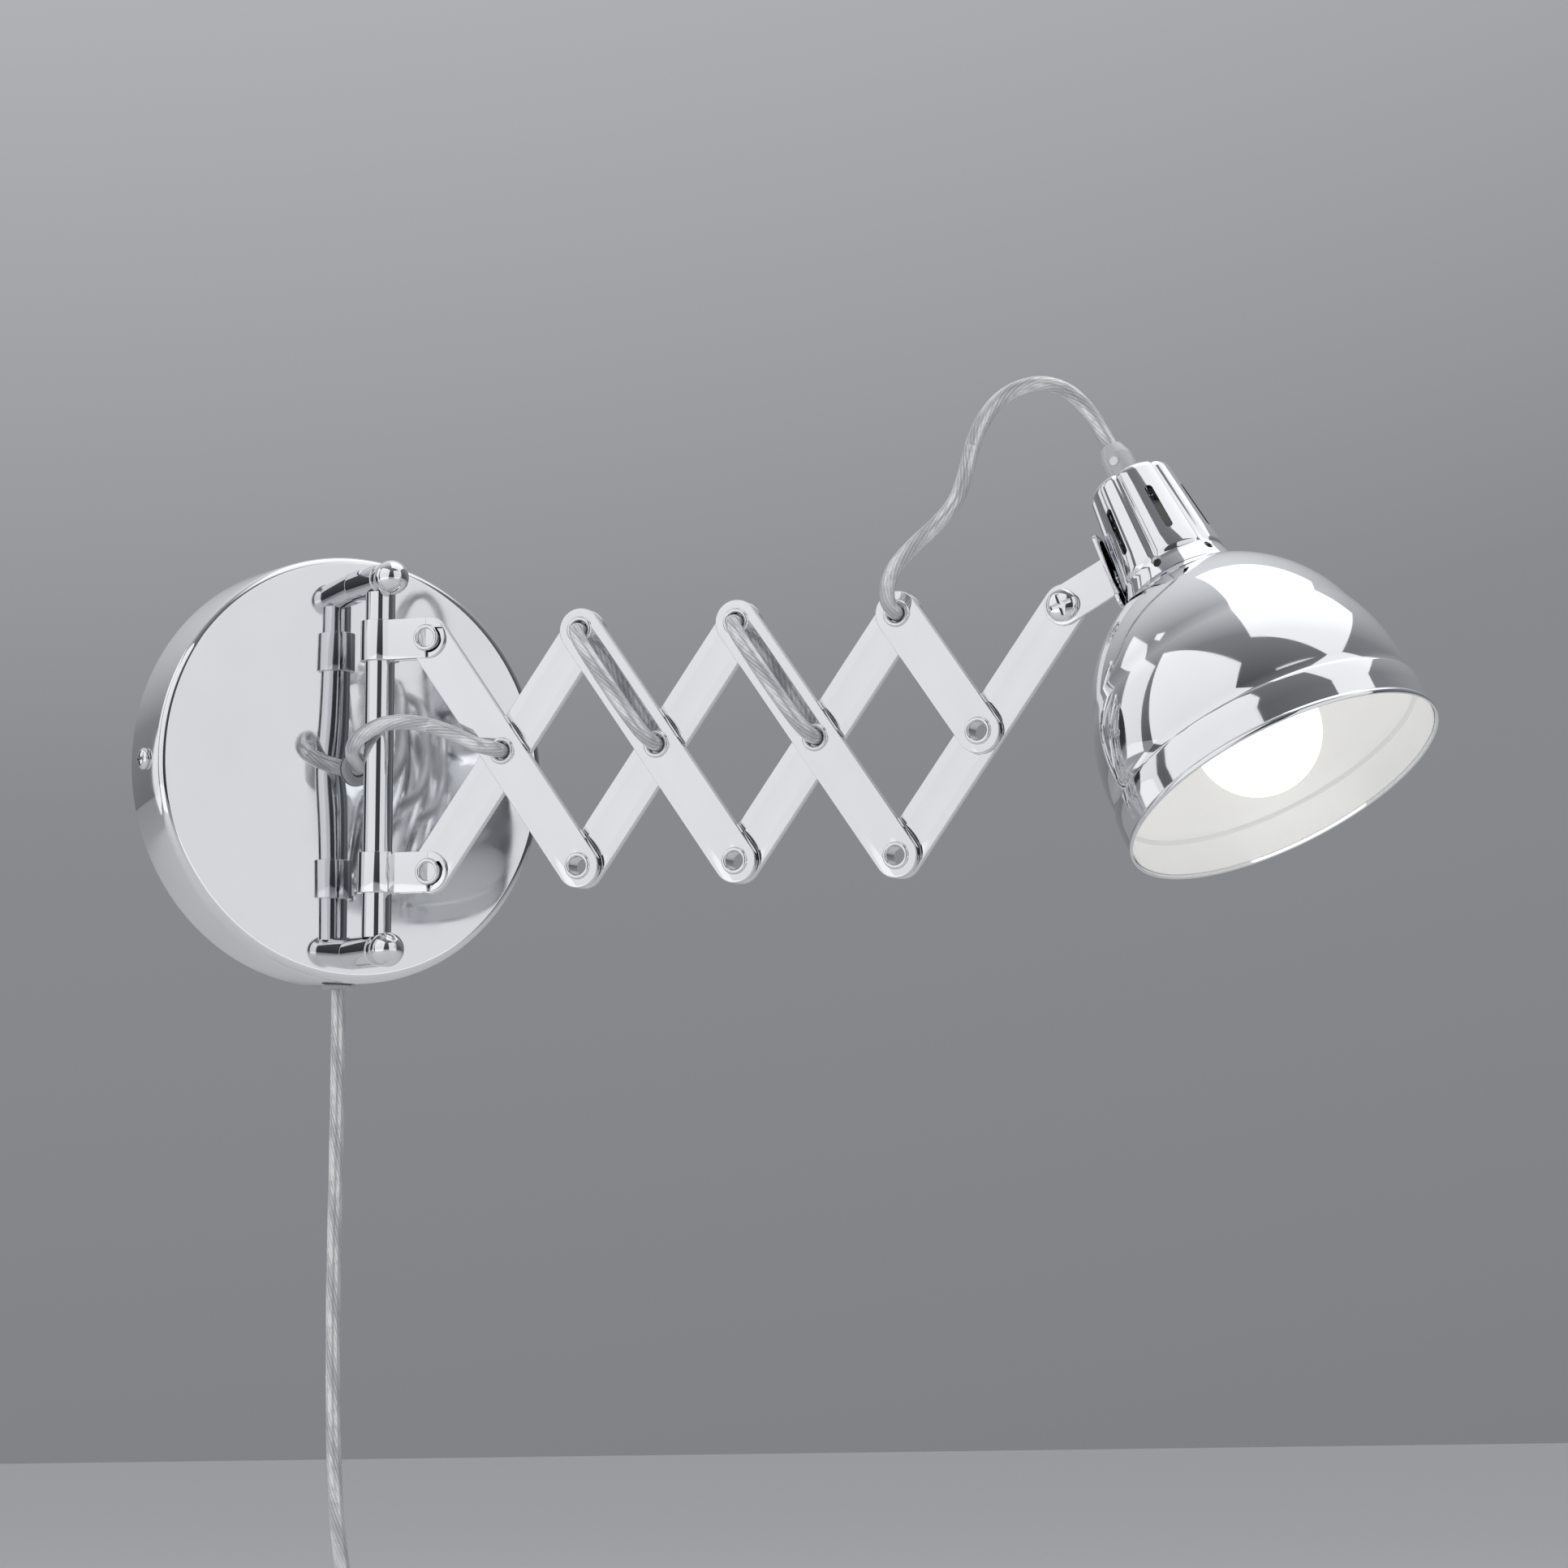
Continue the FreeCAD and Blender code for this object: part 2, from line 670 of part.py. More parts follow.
def make_bar(name):
    """A flat strip with round ends; the front bars carry the spacers between the layers."""
    eyelet_holes, spacers, screw_holes = BARS[name][3:]
    body = new_body("bar_{}_strip".format(name))
    strip = new_sketch(body, "XZ_Plane", "bar_outline_" + name)
    last = max(eyelet_holes + screw_holes)
    slot_outline(strip, 0, s.bar_pitch * last, s.bar_width / 2)
    pad(body, strip, "bar_pad_" + name, s.bar_sheet)
    if spacers:
        rings = new_sketch(body, "XZ_Plane", "bar_spacers_" + name)
        for step in spacers:
            circle(rings, s.bar_pitch * step if step else 0, 0, s.spacer_radius)
        pad(body, rings, "bar_spacer_pad_" + name, s.layer_gap - s.running_play, reverse=True)
    doc.recompute()
    holes = new_sketch(body, "XZ_Plane", "bar_holes_" + name)
    for step in eyelet_holes:
        circle(holes, s.bar_pitch * step if step else 0, 0, s.eyelet_radius + s.running_play)
    for step in screw_holes:
        circle(holes, s.bar_pitch * step, 0, s.end_screw_radius + s.running_play)
    pocket(body, holes, "bar_hole_pocket_" + name)
    keep(body, "bar_" + name, bar_place(name))


def make_eyelet(pivot):
    """A hollow rivet: a barrel with a rolled flange at each end."""
    ear = ear_gap / 2 + s.collar_strip
    if pivot == "u":
        front, back = layer_middle + ear, layer_middle - ear
    elif pivot == "l":
        front, back = -layer_middle + ear, -layer_middle - ear
    else:
        front, back = bar_front, -bar_front - s.running_play
    lip = s.eyelet_flange_height
    bore = s.eyelet_bore
    rolled = (bore + s.eyelet_flange_radius) / 2
    label = "eyelet_" + pivot
    keep(turned(label, [
        (bore, back - lip / 2), (rolled, back - lip), (s.eyelet_flange_radius, back),
        (s.eyelet_radius, back), (s.eyelet_radius, front), (s.eyelet_flange_radius, front),
        (rolled, front + lip), (bore, front + lip / 2),
    ]), label, arm_at(*PIVOTS[pivot], rotation=FRONT))


# ---------------------------------------------------------------- head
neck_taper = math.tan(math.radians(s.neck_taper.value))
tab_back = s.layer_gap / 2 - s.running_play
plate_lean = Rotation(Y_AXIS, s.neck_taper.value)


def neck_radius(height):
    """Radius of the lobes' crests at a height above the shade's mouth."""
    return s.neck_top_radius.value + (neck_top.value - height) * neck_taper


def make_end_screw():
    back = bar_front
    seat = tab_back - s.bracket_sheet - s.running_play
    length = back + s.end_nut_height + s.end_screw_radius / 2 - seat
    body = screw("end_screw", s.end_screw_radius, length, s.end_screw_head_radius,
                 s.end_screw_head_height)
    keep(body, "end_screw", arm_at(*PIVOTS["end"], y=seat, rotation=FRONT))
    nut = doc.addObject("Part::Prism", "end_nut_prism")
    nut.Polygon = 6
    bind(nut, "Circumradius", s.end_nut_flats / 2 / cosine(Size(30, "30")))
    bind(nut, "Height", s.end_nut_height)
    nut.Placement = arm_at(*PIVOTS["end"], y=back + s.end_nut_height, rotation=FRONT)
    bore = rod("end_nut_bore", s.end_screw_radius + s.running_play, 4 * s.end_nut_height,
               arm_at(*PIVOTS["end"], y=back, rotation=FRONT))
    keep(cut("end_nut", nut, [bore]), "end_nut")


def plate_frame():
    """Where the bracket's plate lies along the neck's side, level with the tilt axis."""
    gap = s.free_play.value
    x = s.head_offset.value - neck_radius(head_drop.value) - gap - s.bracket_sheet.value / 2
    front = tab_back - s.bracket_sheet
    return at(x, front + s.bracket_plate_width / 2, 0, plate_lean)


def make_head_bracket():
    """A bent strip: a tab on the end screw, and a plate along the side of the neck."""
    plate_place = plate_frame()
    middle = tab_back - s.bracket_sheet / 2
    reach = plate_place.Base.x
    end = rod("head_bracket_end", s.bracket_tab_width / 2, s.bracket_sheet,
              at(y=middle, rotation=FRONT))
    tab = block("head_bracket_tab", reach, s.bracket_sheet, s.bracket_tab_width,
                at(reach / 2, middle))
    low = s.neck_base + s.bracket_plate_lift - head_drop
    high = low + s.bracket_plate_height
    place = plate_place.multiply(at(z=(low + high) / 2))
    plate = block("head_bracket_plate", s.bracket_sheet, s.bracket_plate_width, high - low, place)
    bent = fused("head_bracket", fused("head_bracket_tab", end, tab), plate)
    sideways = plate_place.multiply(at(y=screw_shift(), rotation=Rotation(Y_AXIS, 90)))
    bore = rod("bracket_screw_hole", s.bracket_screw_radius + s.running_play,
               4 * s.bracket_sheet, sideways)
    pivot = rod("head_bracket_pivot_hole", s.end_screw_radius + s.running_play,
                4 * s.bracket_sheet, at(y=middle, rotation=FRONT))
    keep(cut("head_bracket", bent, [bore, pivot]), "head_bracket", tilt_frame)


def screw_shift():
    """From the plate's middle to the neck's axis, across the plate."""
    return s.head_setback.value - plate_frame().Base.y


def make_bracket_screw():
    body = screw("bracket_screw", s.bracket_screw_radius, 3 * s.bracket_sheet,
                 s.bracket_screw_head_radius, s.bracket_screw_head_height)
    outward = at(-s.bracket_sheet / 2, screw_shift(), 0, Rotation(Y_AXIS, -90))
    keep(body, "bracket_screw", tilt_frame.multiply(plate_frame()).multiply(outward))


def lobed_wire(height, crest, groove):
    """A ring of arcs that bulge between the grooves."""
    count = int(s.lobe_count.value)
    step = 2 * math.pi / count
    edges = []
    for index in range(count):
        middle = math.pi + index * step
        points = []
        for angle, radius in ((-step / 2, crest - groove), (0, crest), (step / 2, crest - groove)):
            turn = middle + angle
            points.append(Vector(radius * math.cos(turn), radius * math.sin(turn), height))
        edges.append(Part.Arc(*points).toShape())
    return Part.Wire(edges)


def cone(low, high, low_radius, high_radius):
    return Part.makeCone(low_radius, high_radius, high - low, Vector(0, 0, low))


def neck_solid(inset):
    """The neck's outer form, or its hollow when it is set in by the sheet."""
    top = neck_top.value - inset
    shoulder = s.neck_shoulder.value
    groove = s.neck_groove.value
    low = s.neck_base.value + inset
    base = low + (0 if inset else s.lobe_start.value)
    rings = [
        lobed_wire(base, neck_radius(base) - inset, groove),
        lobed_wire(top - shoulder, neck_radius(top - shoulder) - inset, groove),
        lobed_wire(top, neck_radius(top) - inset - shoulder, groove),
    ]
    lobes = Part.makeLoft(rings, True, True)
    high = s.neck_base.value + s.skirt_height.value
    flare = s.skirt_flare.value
    skirt = cone(low, high, neck_radius(low) + flare - inset, neck_radius(high) - groove / 2 - inset)
    return lobes.fuse(skirt)


def slot_tool(angle):
    """A radial tool for one upright slot with round ends."""
    width = s.neck_slot_width.value
    half = s.neck_slot_length.value / 2 - width / 2
    depth = 2 * neck_radius(s.neck_base.value)
    tool = Part.makeBox(depth, width, 2 * half, Vector(0, -width / 2, -half))
    for end in (-half, half):
        tool = tool.fuse(Part.makeCylinder(width / 2, depth, Vector(0, 0, end), X_AXIS))
    tool.Placement = at(z=s.neck_base + s.neck_slot_rise, rotation=Rotation(Z_AXIS, angle))
    return tool


def make_neck():
    sheet_thickness = s.neck_sheet.value
    neck = neck_solid(0).cut(neck_solid(sheet_thickness))
    through = 4 * sheet_thickness
    base_hole = s.holder_thread_radius.value + s.hole_play.value
    top_hole = s.gland_thread_radius.value + s.hole_play.value
    for height, radius in ((s.neck_base.value, base_hole), (neck_top.value, top_hole)):
        neck = neck.cut(Part.makeCylinder(radius, 2 * through, Vector(0, 0, height - through)))
    count = int(s.lobe_count.value)
    step = 360 / count
    for index in range(1, count):
        neck = neck.cut(slot_tool(180 + index * step))
    reach = 2 * neck_radius(s.neck_base.value)
    level = s.neck_base.value + s.skirt_height.value / 2
    for index in range(count):
        turn = math.radians(180 + (index + 0.5) * step)
        direction = Vector(math.cos(turn), math.sin(turn), 0)
        vent = Part.makeCylinder(s.vent_radius.value, reach, Vector(0, 0, level), direction)
        neck = neck.cut(vent)
    bolt = Part.makeCylinder(s.bracket_screw_radius.value + s.hole_play.value, reach)
    across = tilt_frame.multiply(plate_frame()).multiply(
        at(y=screw_shift(), rotation=Rotation(Y_AXIS, 90)))
    bolt.Placement = shade_frame.inverse().multiply(across).multiply(at(z=-MARGIN))
    keep(shaped("neck_cover", neck.cut(bolt)), "neck_cover", shade_frame)


def make_lampholder():
    seat = s.neck_base + s.neck_sheet + s.running_play
    low = s.neck_base - s.holder_thread_length
    flange_top = seat + s.holder_flange_height
    top = flange_top + s.holder_body_length
    bore = s.bulb_cap_radius + s.free_play
    body = s.holder_body_radius
    thread = s.holder_thread_radius
    keep(turned("lampholder", [
        (bore, low), (thread, low), (thread, seat), (s.holder_flange_radius, seat),
        (s.holder_flange_radius, flange_top), (body, flange_top), (body, top - body / 4),
        (body * 0.75, top), (0, top), (0, low + s.holder_bore_depth),
        (bore, low + s.holder_bore_depth),
    ]), "lampholder", shade_frame)


def dome_line(inset):
    """The shade's outline from its top hole to its mouth, set in by a thickness, and its arcs."""
    top = s.neck_base - inset
    hole = s.holder_thread_radius + s.hole_play
    knee = (s.mouth_radius - s.knee_inset - inset * cosine(s.shade_knee_slope),
            s.shade_knee_height - inset * sine(s.shade_knee_slope))
    waist = (s.mouth_radius - s.waist_inset - inset, s.band_height + s.band_step)
    corners = [
        (hole, top), (s.shade_top_radius - inset / 2, top), knee, waist,
        (s.mouth_radius - s.enamel - inset, s.band_height - inset / 2), (s.mouth_radius - inset, 0),
    ]
    return corners, (s.shade_upper_curve - inset, s.shade_lower_curve - inset)


def shell_of_revolution(label, outer_inset, inner_inset):
    outer, outer_curves = dome_line(outer_inset)
    inner, inner_curves = dome_line(inner_inset)
    corners = outer + inner[::-1]
    arcs = {
        1: (outer_curves[0], -1), 2: (outer_curves[1], -1),
        8: (inner_curves[1], 1), 9: (inner_curves[0], 1),
    }
    return turned(label, corners, arcs)


def make_shade():
    none = Size(0, "0")
    lined = s.shade_sheet + s.enamel
    keep(shell_of_revolution("shade", none, s.shade_sheet), "shade", shade_frame)
    lining = shell_of_revolution("shade_lining", s.shade_sheet + none, lined)
    keep(lining, "shade_lining", shade_frame)
    top = s.neck_base - lined - s.running_play
    inner = s.holder_thread_radius + s.running_play
    outer = s.shade_ring_radius
    keep(turned("shade_ring", [
        (inner, top - s.shade_ring_height), (outer - s.grommet_lip, top - s.shade_ring_height),
        (outer, top - s.shade_ring_height + s.grommet_lip), (outer, top), (inner, top),
    ]), "shade_ring", shade_frame)


def make_bulb():
    middle = s.bulb_tip + s.bulb_radius
    neck = s.bulb_neck_radius
    shoulder = middle + root(s.bulb_radius * s.bulb_radius - neck * neck)
    cap_base = s.bulb_length - s.bulb_cap_length
    cap = s.bulb_cap_radius
    keep(turned("bulb", [
        (0, s.bulb_tip), (s.bulb_radius, middle), (neck, shoulder), (cap + 2 * MARGIN, cap_base - MARGIN),
        (cap, cap_base), (cap, s.bulb_length - 3 * MARGIN), (cap / 2, s.bulb_length),
        (0, s.bulb_length),
    ], {0: (s.bulb_radius, 1), 1: (s.bulb_radius, 1)}), "bulb", shade_frame)


def make_gland():
    base = neck_top + s.running_play
    bore = s.cord_radius + s.cord_bore_play
    thread = s.gland_thread_radius
    top = base + s.gland_height
    body = turned("cord_gland", [
        (bore, base - 4 * s.neck_sheet), (thread, base - 4 * s.neck_sheet), (thread, base),
        (s.gland_radius, base), (s.gland_radius - s.free_play, base + s.gland_height * 0.7),
        (s.gland_tip_radius, top), (bore, top),
    ])
    level = base + s.gland_height / 2
    wall = s.gland_radius - bore
    play = s.running_play
    aim = at(z=level, rotation=Rotation(X_AXIS, 90))
    hole = rod("gland_screw_hole", s.gland_screw_radius + play, 2 * wall,
               aim.multiply(at(z=bore + wall)))
    keep(cut("cord_gland", body, [hole]), "cord_gland", shade_frame)
    pin = rod("gland_screw_rod", s.gland_screw_radius, wall, aim.multiply(at(z=bore + wall / 2 + play)))
    pin.Placement = shade_frame.multiply(pin.Placement)
    keep(pin, "gland_screw")


# ---------------------------------------------------------------- cords
def unit(vector):
    return vector / vector.Length


def bent_route(points, label):
    """Straight runs joined by tangent arcs, each as large as its two runs allow."""
    edges = []
    radii = []
    last = points[0]
    for before, point, after in zip(points, points[1:], points[2:]):
        incoming = unit(point - before)
        outgoing = unit(after - point)
        turn = incoming.getAngle(outgoing)
        tangent = 0.45 * min((point - before).Length, (after - point).Length)
        radius = tangent / math.tan(turn / 2)
        radii.append(round(radius, 1))
        first = point - incoming * tangent
        final = point + outgoing * tangent
        inward = unit(outgoing - incoming)
        reach = radius / math.cos(turn / 2)
        middle = point + inward * (reach - radius)
        edges.append(Part.LineSegment(last, first).toShape())
        edges.append(Part.Arc(first, middle, final).toShape())
        last = final
    edges.append(Part.LineSegment(last, points[-1]).toShape())
    print("{}: radii {}".format(label, radii))
    return Part.Wire(edges)


def tube(wire, label):
    """A solid cord along a wire, its volume compared with section times length."""
    start = wire.Edges[0].valueAt(wire.Edges[0].FirstParameter)
    direction = wire.Edges[0].tangentAt(wire.Edges[0].FirstParameter)
    radius = s.cord_radius.value
    section = Part.Wire([Part.makeCircle(radius, start, direction)])
    solid = wire.makePipeShell([section], True, False)
    expected = math.pi * radius ** 2 * wire.Length
    print("{}: length {:.1f}, volume ratio {:.4f}".format(label, wire.Length, solid.Volume / expected))
    return solid


def vectors(points, start=Vector()):
    return [start + Vector(*point) for point in points]


# The flex and the mains cord lie as they hang: points from the canopy's outlet, from the last upper
# rivet and from the canopy's foot.
LEAD_IN = [
    (0, 16, 0), (0.05, 7, 0), (0, -4, 0.1), (-4.2, -8.6, 1.8), (-9, -13.4, 4.4), (-10.8, -20, 8),
    (-8.6, -26, 11.5), (-3.4, -32, 14.4), (3.4, -40, 13.9), (9.6, -48.4, 11.2),
    (14.2, -56.4, 7.2), (17.6, -63, 3.9),
]
ARCH = [
    (-0.77, -12.5, 5.3), (2.33, -15, 13.2), (9.83, -15.5, 21), (18.63, -14.6, 28.3),
    (25.53, -12.3, 36.5), (28.23, -9.6, 46.5), (29.33, -6.2, 57.5), (32.33, -2, 68.6),
    (38.63, 3, 77.8), (48.53, 8.5, 82.3), (57.93, 13, 80.2), (64.93, 15.6, 73.4),
]
MAINS = [
    (0, 0, 1.5), (0.3, 0, -50), (-0.3, 0.4, -110), (0.3, 0, -165), (2.6, 0, -203),
    (8.4, 0, -232), (14, 0, -255), (16.4, 0, -272), (16.5, 0, -286),
]
HELD = [(0, 0), (0, 6.5), (4, 11), (13, 12.8), (26.5, 13.2), (40, 12.8), (49, 11), (53, 6.5), (53, 0)]


def make_held_cord(label, bar, first_pivot, side):
    """One stretch of flex that arches from one eyelet of a bar to the next."""
    start, slope = BARS[bar][:2]
    scale = s.bar_pitch.value / HELD[-1][0]
    shift = s.bar_pitch.value * first_pivot
    points = vectors([(shift + along * scale, out * side, 0) for along, out in HELD])
    lean = Rotation(Y_AXIS, -s.fold_angle.value * slope)
    item = shaped(label, tube(bent_route(points, label), label))
    keep(item, label, arm_at(*PIVOTS[start], rotation=lean))


def make_lead_in():
    points = vectors(LEAD_IN, Vector(0, -s.canopy_depth.value, 0))
    pivot = arm_at(*PIVOTS["x1"])
    points += [pivot.multVec(Vector(0, -2.5 * s.bar_sheet.value, 0)), pivot.Base]
    keep(shaped("flex_lead_in", tube(bent_route(points, "flex_lead_in"), "flex_lead_in")),
         "flex_lead_in")


def make_arch():
    start = arm_at(*PIVOTS["t3"])
    points = [start.Base, start.multVec(Vector(0, -2.5 * s.bar_sheet.value, 0))]
    points += [start.multVec(point) for point in vectors(ARCH)]
    top = neck_top.value + s.gland_height.value
    points.append(shade_frame.multVec(Vector(0, 0, top + 3 * s.cord_radius.value)))
    points.append(shade_frame.multVec(Vector(0, 0, top - s.cord_radius.value)))
    keep(shaped("flex_arch", tube(bent_route(points, "flex_arch"), "flex_arch")), "flex_arch")


def arc_from(start, direction, end):
    """The arc that leaves start along direction and ends at end."""
    chord = end - start
    turn = direction.getAngle(chord)
    if turn < 1e-6:
        return Part.LineSegment(start, end).toShape()
    across = unit(direction - unit(chord) * direction.dot(unit(chord)))
    middle = start + chord / 2 + across * (chord.Length / 2 * math.tan(turn / 2))
    return Part.Arc(start, middle, end).toShape()


def biarc(start, leaving, end, arriving):
    """Two arcs with one tangent where they meet."""
    chord = end - start
    both = leaving + arriving
    a = 2 * (1 - leaving.dot(arriving))
    b = 2 * chord.dot(both)
    c = -chord.dot(chord)
    reach = (-b + math.sqrt(b * b - 4 * a * c)) / (2 * a)
    middle = (start + leaving * reach + end - arriving * reach) / 2
    first = arc_from(start, leaving, middle)
    second = arc_from(end, -arriving, middle)
    return [first, second]


def coil_radius(turn):
    """The spiral's radius: it winds in for half the turns and out again for the rest."""
    half = s.loop_turns.value / 2
    return s.loop_radius.value + s.loop_pitch.value * (abs(turn - half) - half / 2)


def coil_point(turn):
    """A point of the put-away coil after so many turns, from its right side and down."""
    part = min(max((turn - s.loop_turns.value / 2) / 0.5 + 0.5, 0), 1)
    climb = s.loop_pitch.value * part * part * (3 - 2 * part)
    angle = 2 * math.pi * turn
    radius = coil_radius(turn)
    return Vector(radius * math.cos(angle), -climb, -radius * math.sin(angle))


def coil_tangent(turn):
    step = 1e-4
    return unit(coil_point(turn + step) - coil_point(turn - step))


def least_gap(points, turn_step):
    """Least gap between turns of the wound cord, on points at least half a turn apart."""
    least = 1e9
    for i, point in enumerate(points):
        for j in range(i + 1, len(points)):
            if (j - i) * turn_step > 0.5:
                least = min(least, point.distanceToPoint(points[j]))
    return least - 2 * s.cord_radius.value


def mains_start():
    return Vector(0, -s.mains_depth.value, -s.canopy_radius.value)


def coil_centre():
    lead = mains_start() + Vector(*MAINS[-1])
    return lead - Vector(coil_radius(0), 0, 2 * s.cord_radius.value)


def make_coil():
    """The rest of the mains cord, wound in two layers, with its tail down to the plug."""
    centre = coil_centre()
    turns = s.loop_turns.value
    steps = int(math.ceil(turns * 4))
    entry = centre + coil_point(0)
    leave = centre + coil_point(turns)
    last = unit(Vector(-math.sin(2 * math.pi * turns), 0, -math.cos(2 * math.pi * turns)))
    tip = leave + last * s.tail_length.value
    edges = [Part.LineSegment(entry + Z_AXIS * 2 * s.cord_radius.value, entry).toShape()]
    for index in range(steps):
        here, there = turns * index / steps, turns * (index + 1) / steps
        leaving = -Z_AXIS if index == 0 else coil_tangent(here)
        arriving = last if index == steps - 1 else coil_tangent(there)
        edges += biarc(centre + coil_point(here), leaving, centre + coil_point(there), arriving)
    edges.append(Part.LineSegment(leave, tip).toShape())
    samples = 48
    points = [coil_point(index / samples) for index in range(int(turns * samples) + 1)]
    print("mains_coil: least gap {:.2f}".format(least_gap(points, 1 / samples)))
    keep(shaped("mains_coil", tube(Part.Wire(edges), "mains_coil")), "mains_coil")
    return Placement(tip, Rotation(-Z_AXIS, last))


def rounded_slab(length, width, height, corner):
    """An upright wire, a rectangle with round corners, at a height."""
    x, y = length / 2 - corner, width / 2 - corner
    spots = [(x, y, 0), (-x, y, 90), (-x, -y, 180), (x, -y, 270)]
    edges = []
    for index, (cx, cy, angle) in enumerate(spots):
        points = []
        for turn in (0, 45, 90):
            heading = math.radians(angle + turn)
            points.append(Vector(cx + corner * math.cos(heading), cy + corner * math.sin(heading), height))
        edges.append(Part.Arc(*points).toShape())
        next_x, next_y, next_angle = spots[(index + 1) % 4]
        heading = math.radians(next_angle)
        corner_start = Vector(next_x + corner * math.cos(heading), next_y + corner * math.sin(heading),
                              height)
        edges.append(Part.LineSegment(points[-1], corner_start).toShape())
    return Part.Wire(edges)


def make_tie():
    """A strap round all the turns at the foot of the coil, with room for their bow."""
    radii = [coil_radius(turn + 0.25) for turn in range(int(s.loop_turns.value + 0.75))]
    width = s.tie_width.value
    play = s.cord_radius.value + s.free_play.value
    bow = width / min(radii) * (width / 8 + s.loop_pitch.value / 4 / math.pi)
    tall = max(radii) - min(radii) + 2 * play + bow
    deep = s.loop_pitch.value + 2 * play
    wall = s.tie_sheet.value
    corner = s.cord_radius.value
    outer = Part.Face(rounded_slab(tall + 2 * wall, deep + 2 * wall, 0, corner + wall))
    inner = Part.Face(rounded_slab(tall, deep, 0, corner))
    strap = outer.cut(inner).extrude(Vector(0, 0, width))
    middle = Vector(-width / 2, -s.loop_pitch.value / 2, (bow - min(radii) - max(radii)) / 2)
    place = Placement(coil_centre() + middle, Rotation(Y_AXIS, 90))
    keep(shaped("coil_tie", strap), "coil_tie", place)


def make_plug(place):
    """A flat two-pin plug that hangs from the coil's end."""
    relief = s.plug_relief_length.value
    length = s.plug_length.value
    width = s.plug_width.value
    thick = s.plug_thickness.value
    bore = s.cord_radius.value + s.cord_bore_play.value
    rear = rounded_slab(0.55 * width, 0.75 * thick, -relief, s.plug_rear_corner.value)
    corner = s.plug_corner.value
    shoulder = rounded_slab(width, thick, -relief - 0.55 * length, corner)
    face = rounded_slab(1.3 * width, thick, -relief - length, corner)
    body = Part.makeLoft([rear, shoulder, face], True, True)
    sleeve = Part.makeCone(bore + 1.2, bore + 1.8, relief + MARGIN, Vector(0, 0, 0), -Z_AXIS)
    plug = body.fuse(sleeve)
    for side in (-1, 1):
        foot = Vector(side * s.plug_pin_spacing.value / 2, 0, -relief - length + MARGIN)
        pin = Part.makeCylinder(s.plug_pin_radius.value, s.plug_pin_length.value + MARGIN, foot, -Z_AXIS)
        plug = plug.fuse(pin)
    plug = plug.removeSplitter()
    keep(shaped("mains_plug", plug), "mains_plug", place)


def make_mains():
    wire = bent_route(vectors(MAINS, mains_start()), "mains_cord")
    keep(shaped("mains_cord", tube(wire, "mains_cord")), "mains_cord")


make_wall_bracket()
make_canopy()
make_canopy_screws()
make_terminal_block()
make_grommets()
make_post()
make_standoffs()
make_collar("top", 1, arm_height)
make_collar("bottom", -1, arm_height - 2 * rise)
for bar_name in BARS:
    make_bar(bar_name)
for pivot_name in PIVOTS:
    if pivot_name != "end":
        make_eyelet(pivot_name)
make_end_screw()
make_head_bracket()
make_bracket_screw()
make_neck()
make_lampholder()
make_shade()
make_bulb()
make_gland()
make_lead_in()
make_held_cord("flex_back_b", "b", 1, 1)
make_held_cord("flex_front_c", "c", 0, -1)
make_held_cord("flex_back_d", "d", 1, 1)
make_held_cord("flex_front_e", "e", 0, -1)
make_held_cord("flex_back_f", "f", 1, 1)
make_arch()
make_mains()
make_plug(make_coil())
make_tie()
doc.recompute()

for item in doc.Objects:
    if "Invalid" in item.State or "Error" in item.State:
        raise RuntimeError("{} did not build: {}".format(item.Label, item.State))
for label, item in sub_parts.items():
    shape = item.Shape
    if shape.isNull() or not shape.isValid() or len(shape.Solids) != 1:
        raise RuntimeError("{} is not one valid solid".format(label))

os.makedirs("parts", exist_ok=True)
for label, item in sub_parts.items():
    item.Shape.exportStep("parts/{}.step".format(label))
print("{} sub-parts".format(len(sub_parts)))
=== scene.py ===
"""Looks of the chrome accordion wall lamp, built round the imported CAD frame. Metres, +Z up."""
import json
import math
import bmesh
import bpy
from mathutils import Matrix, Vector


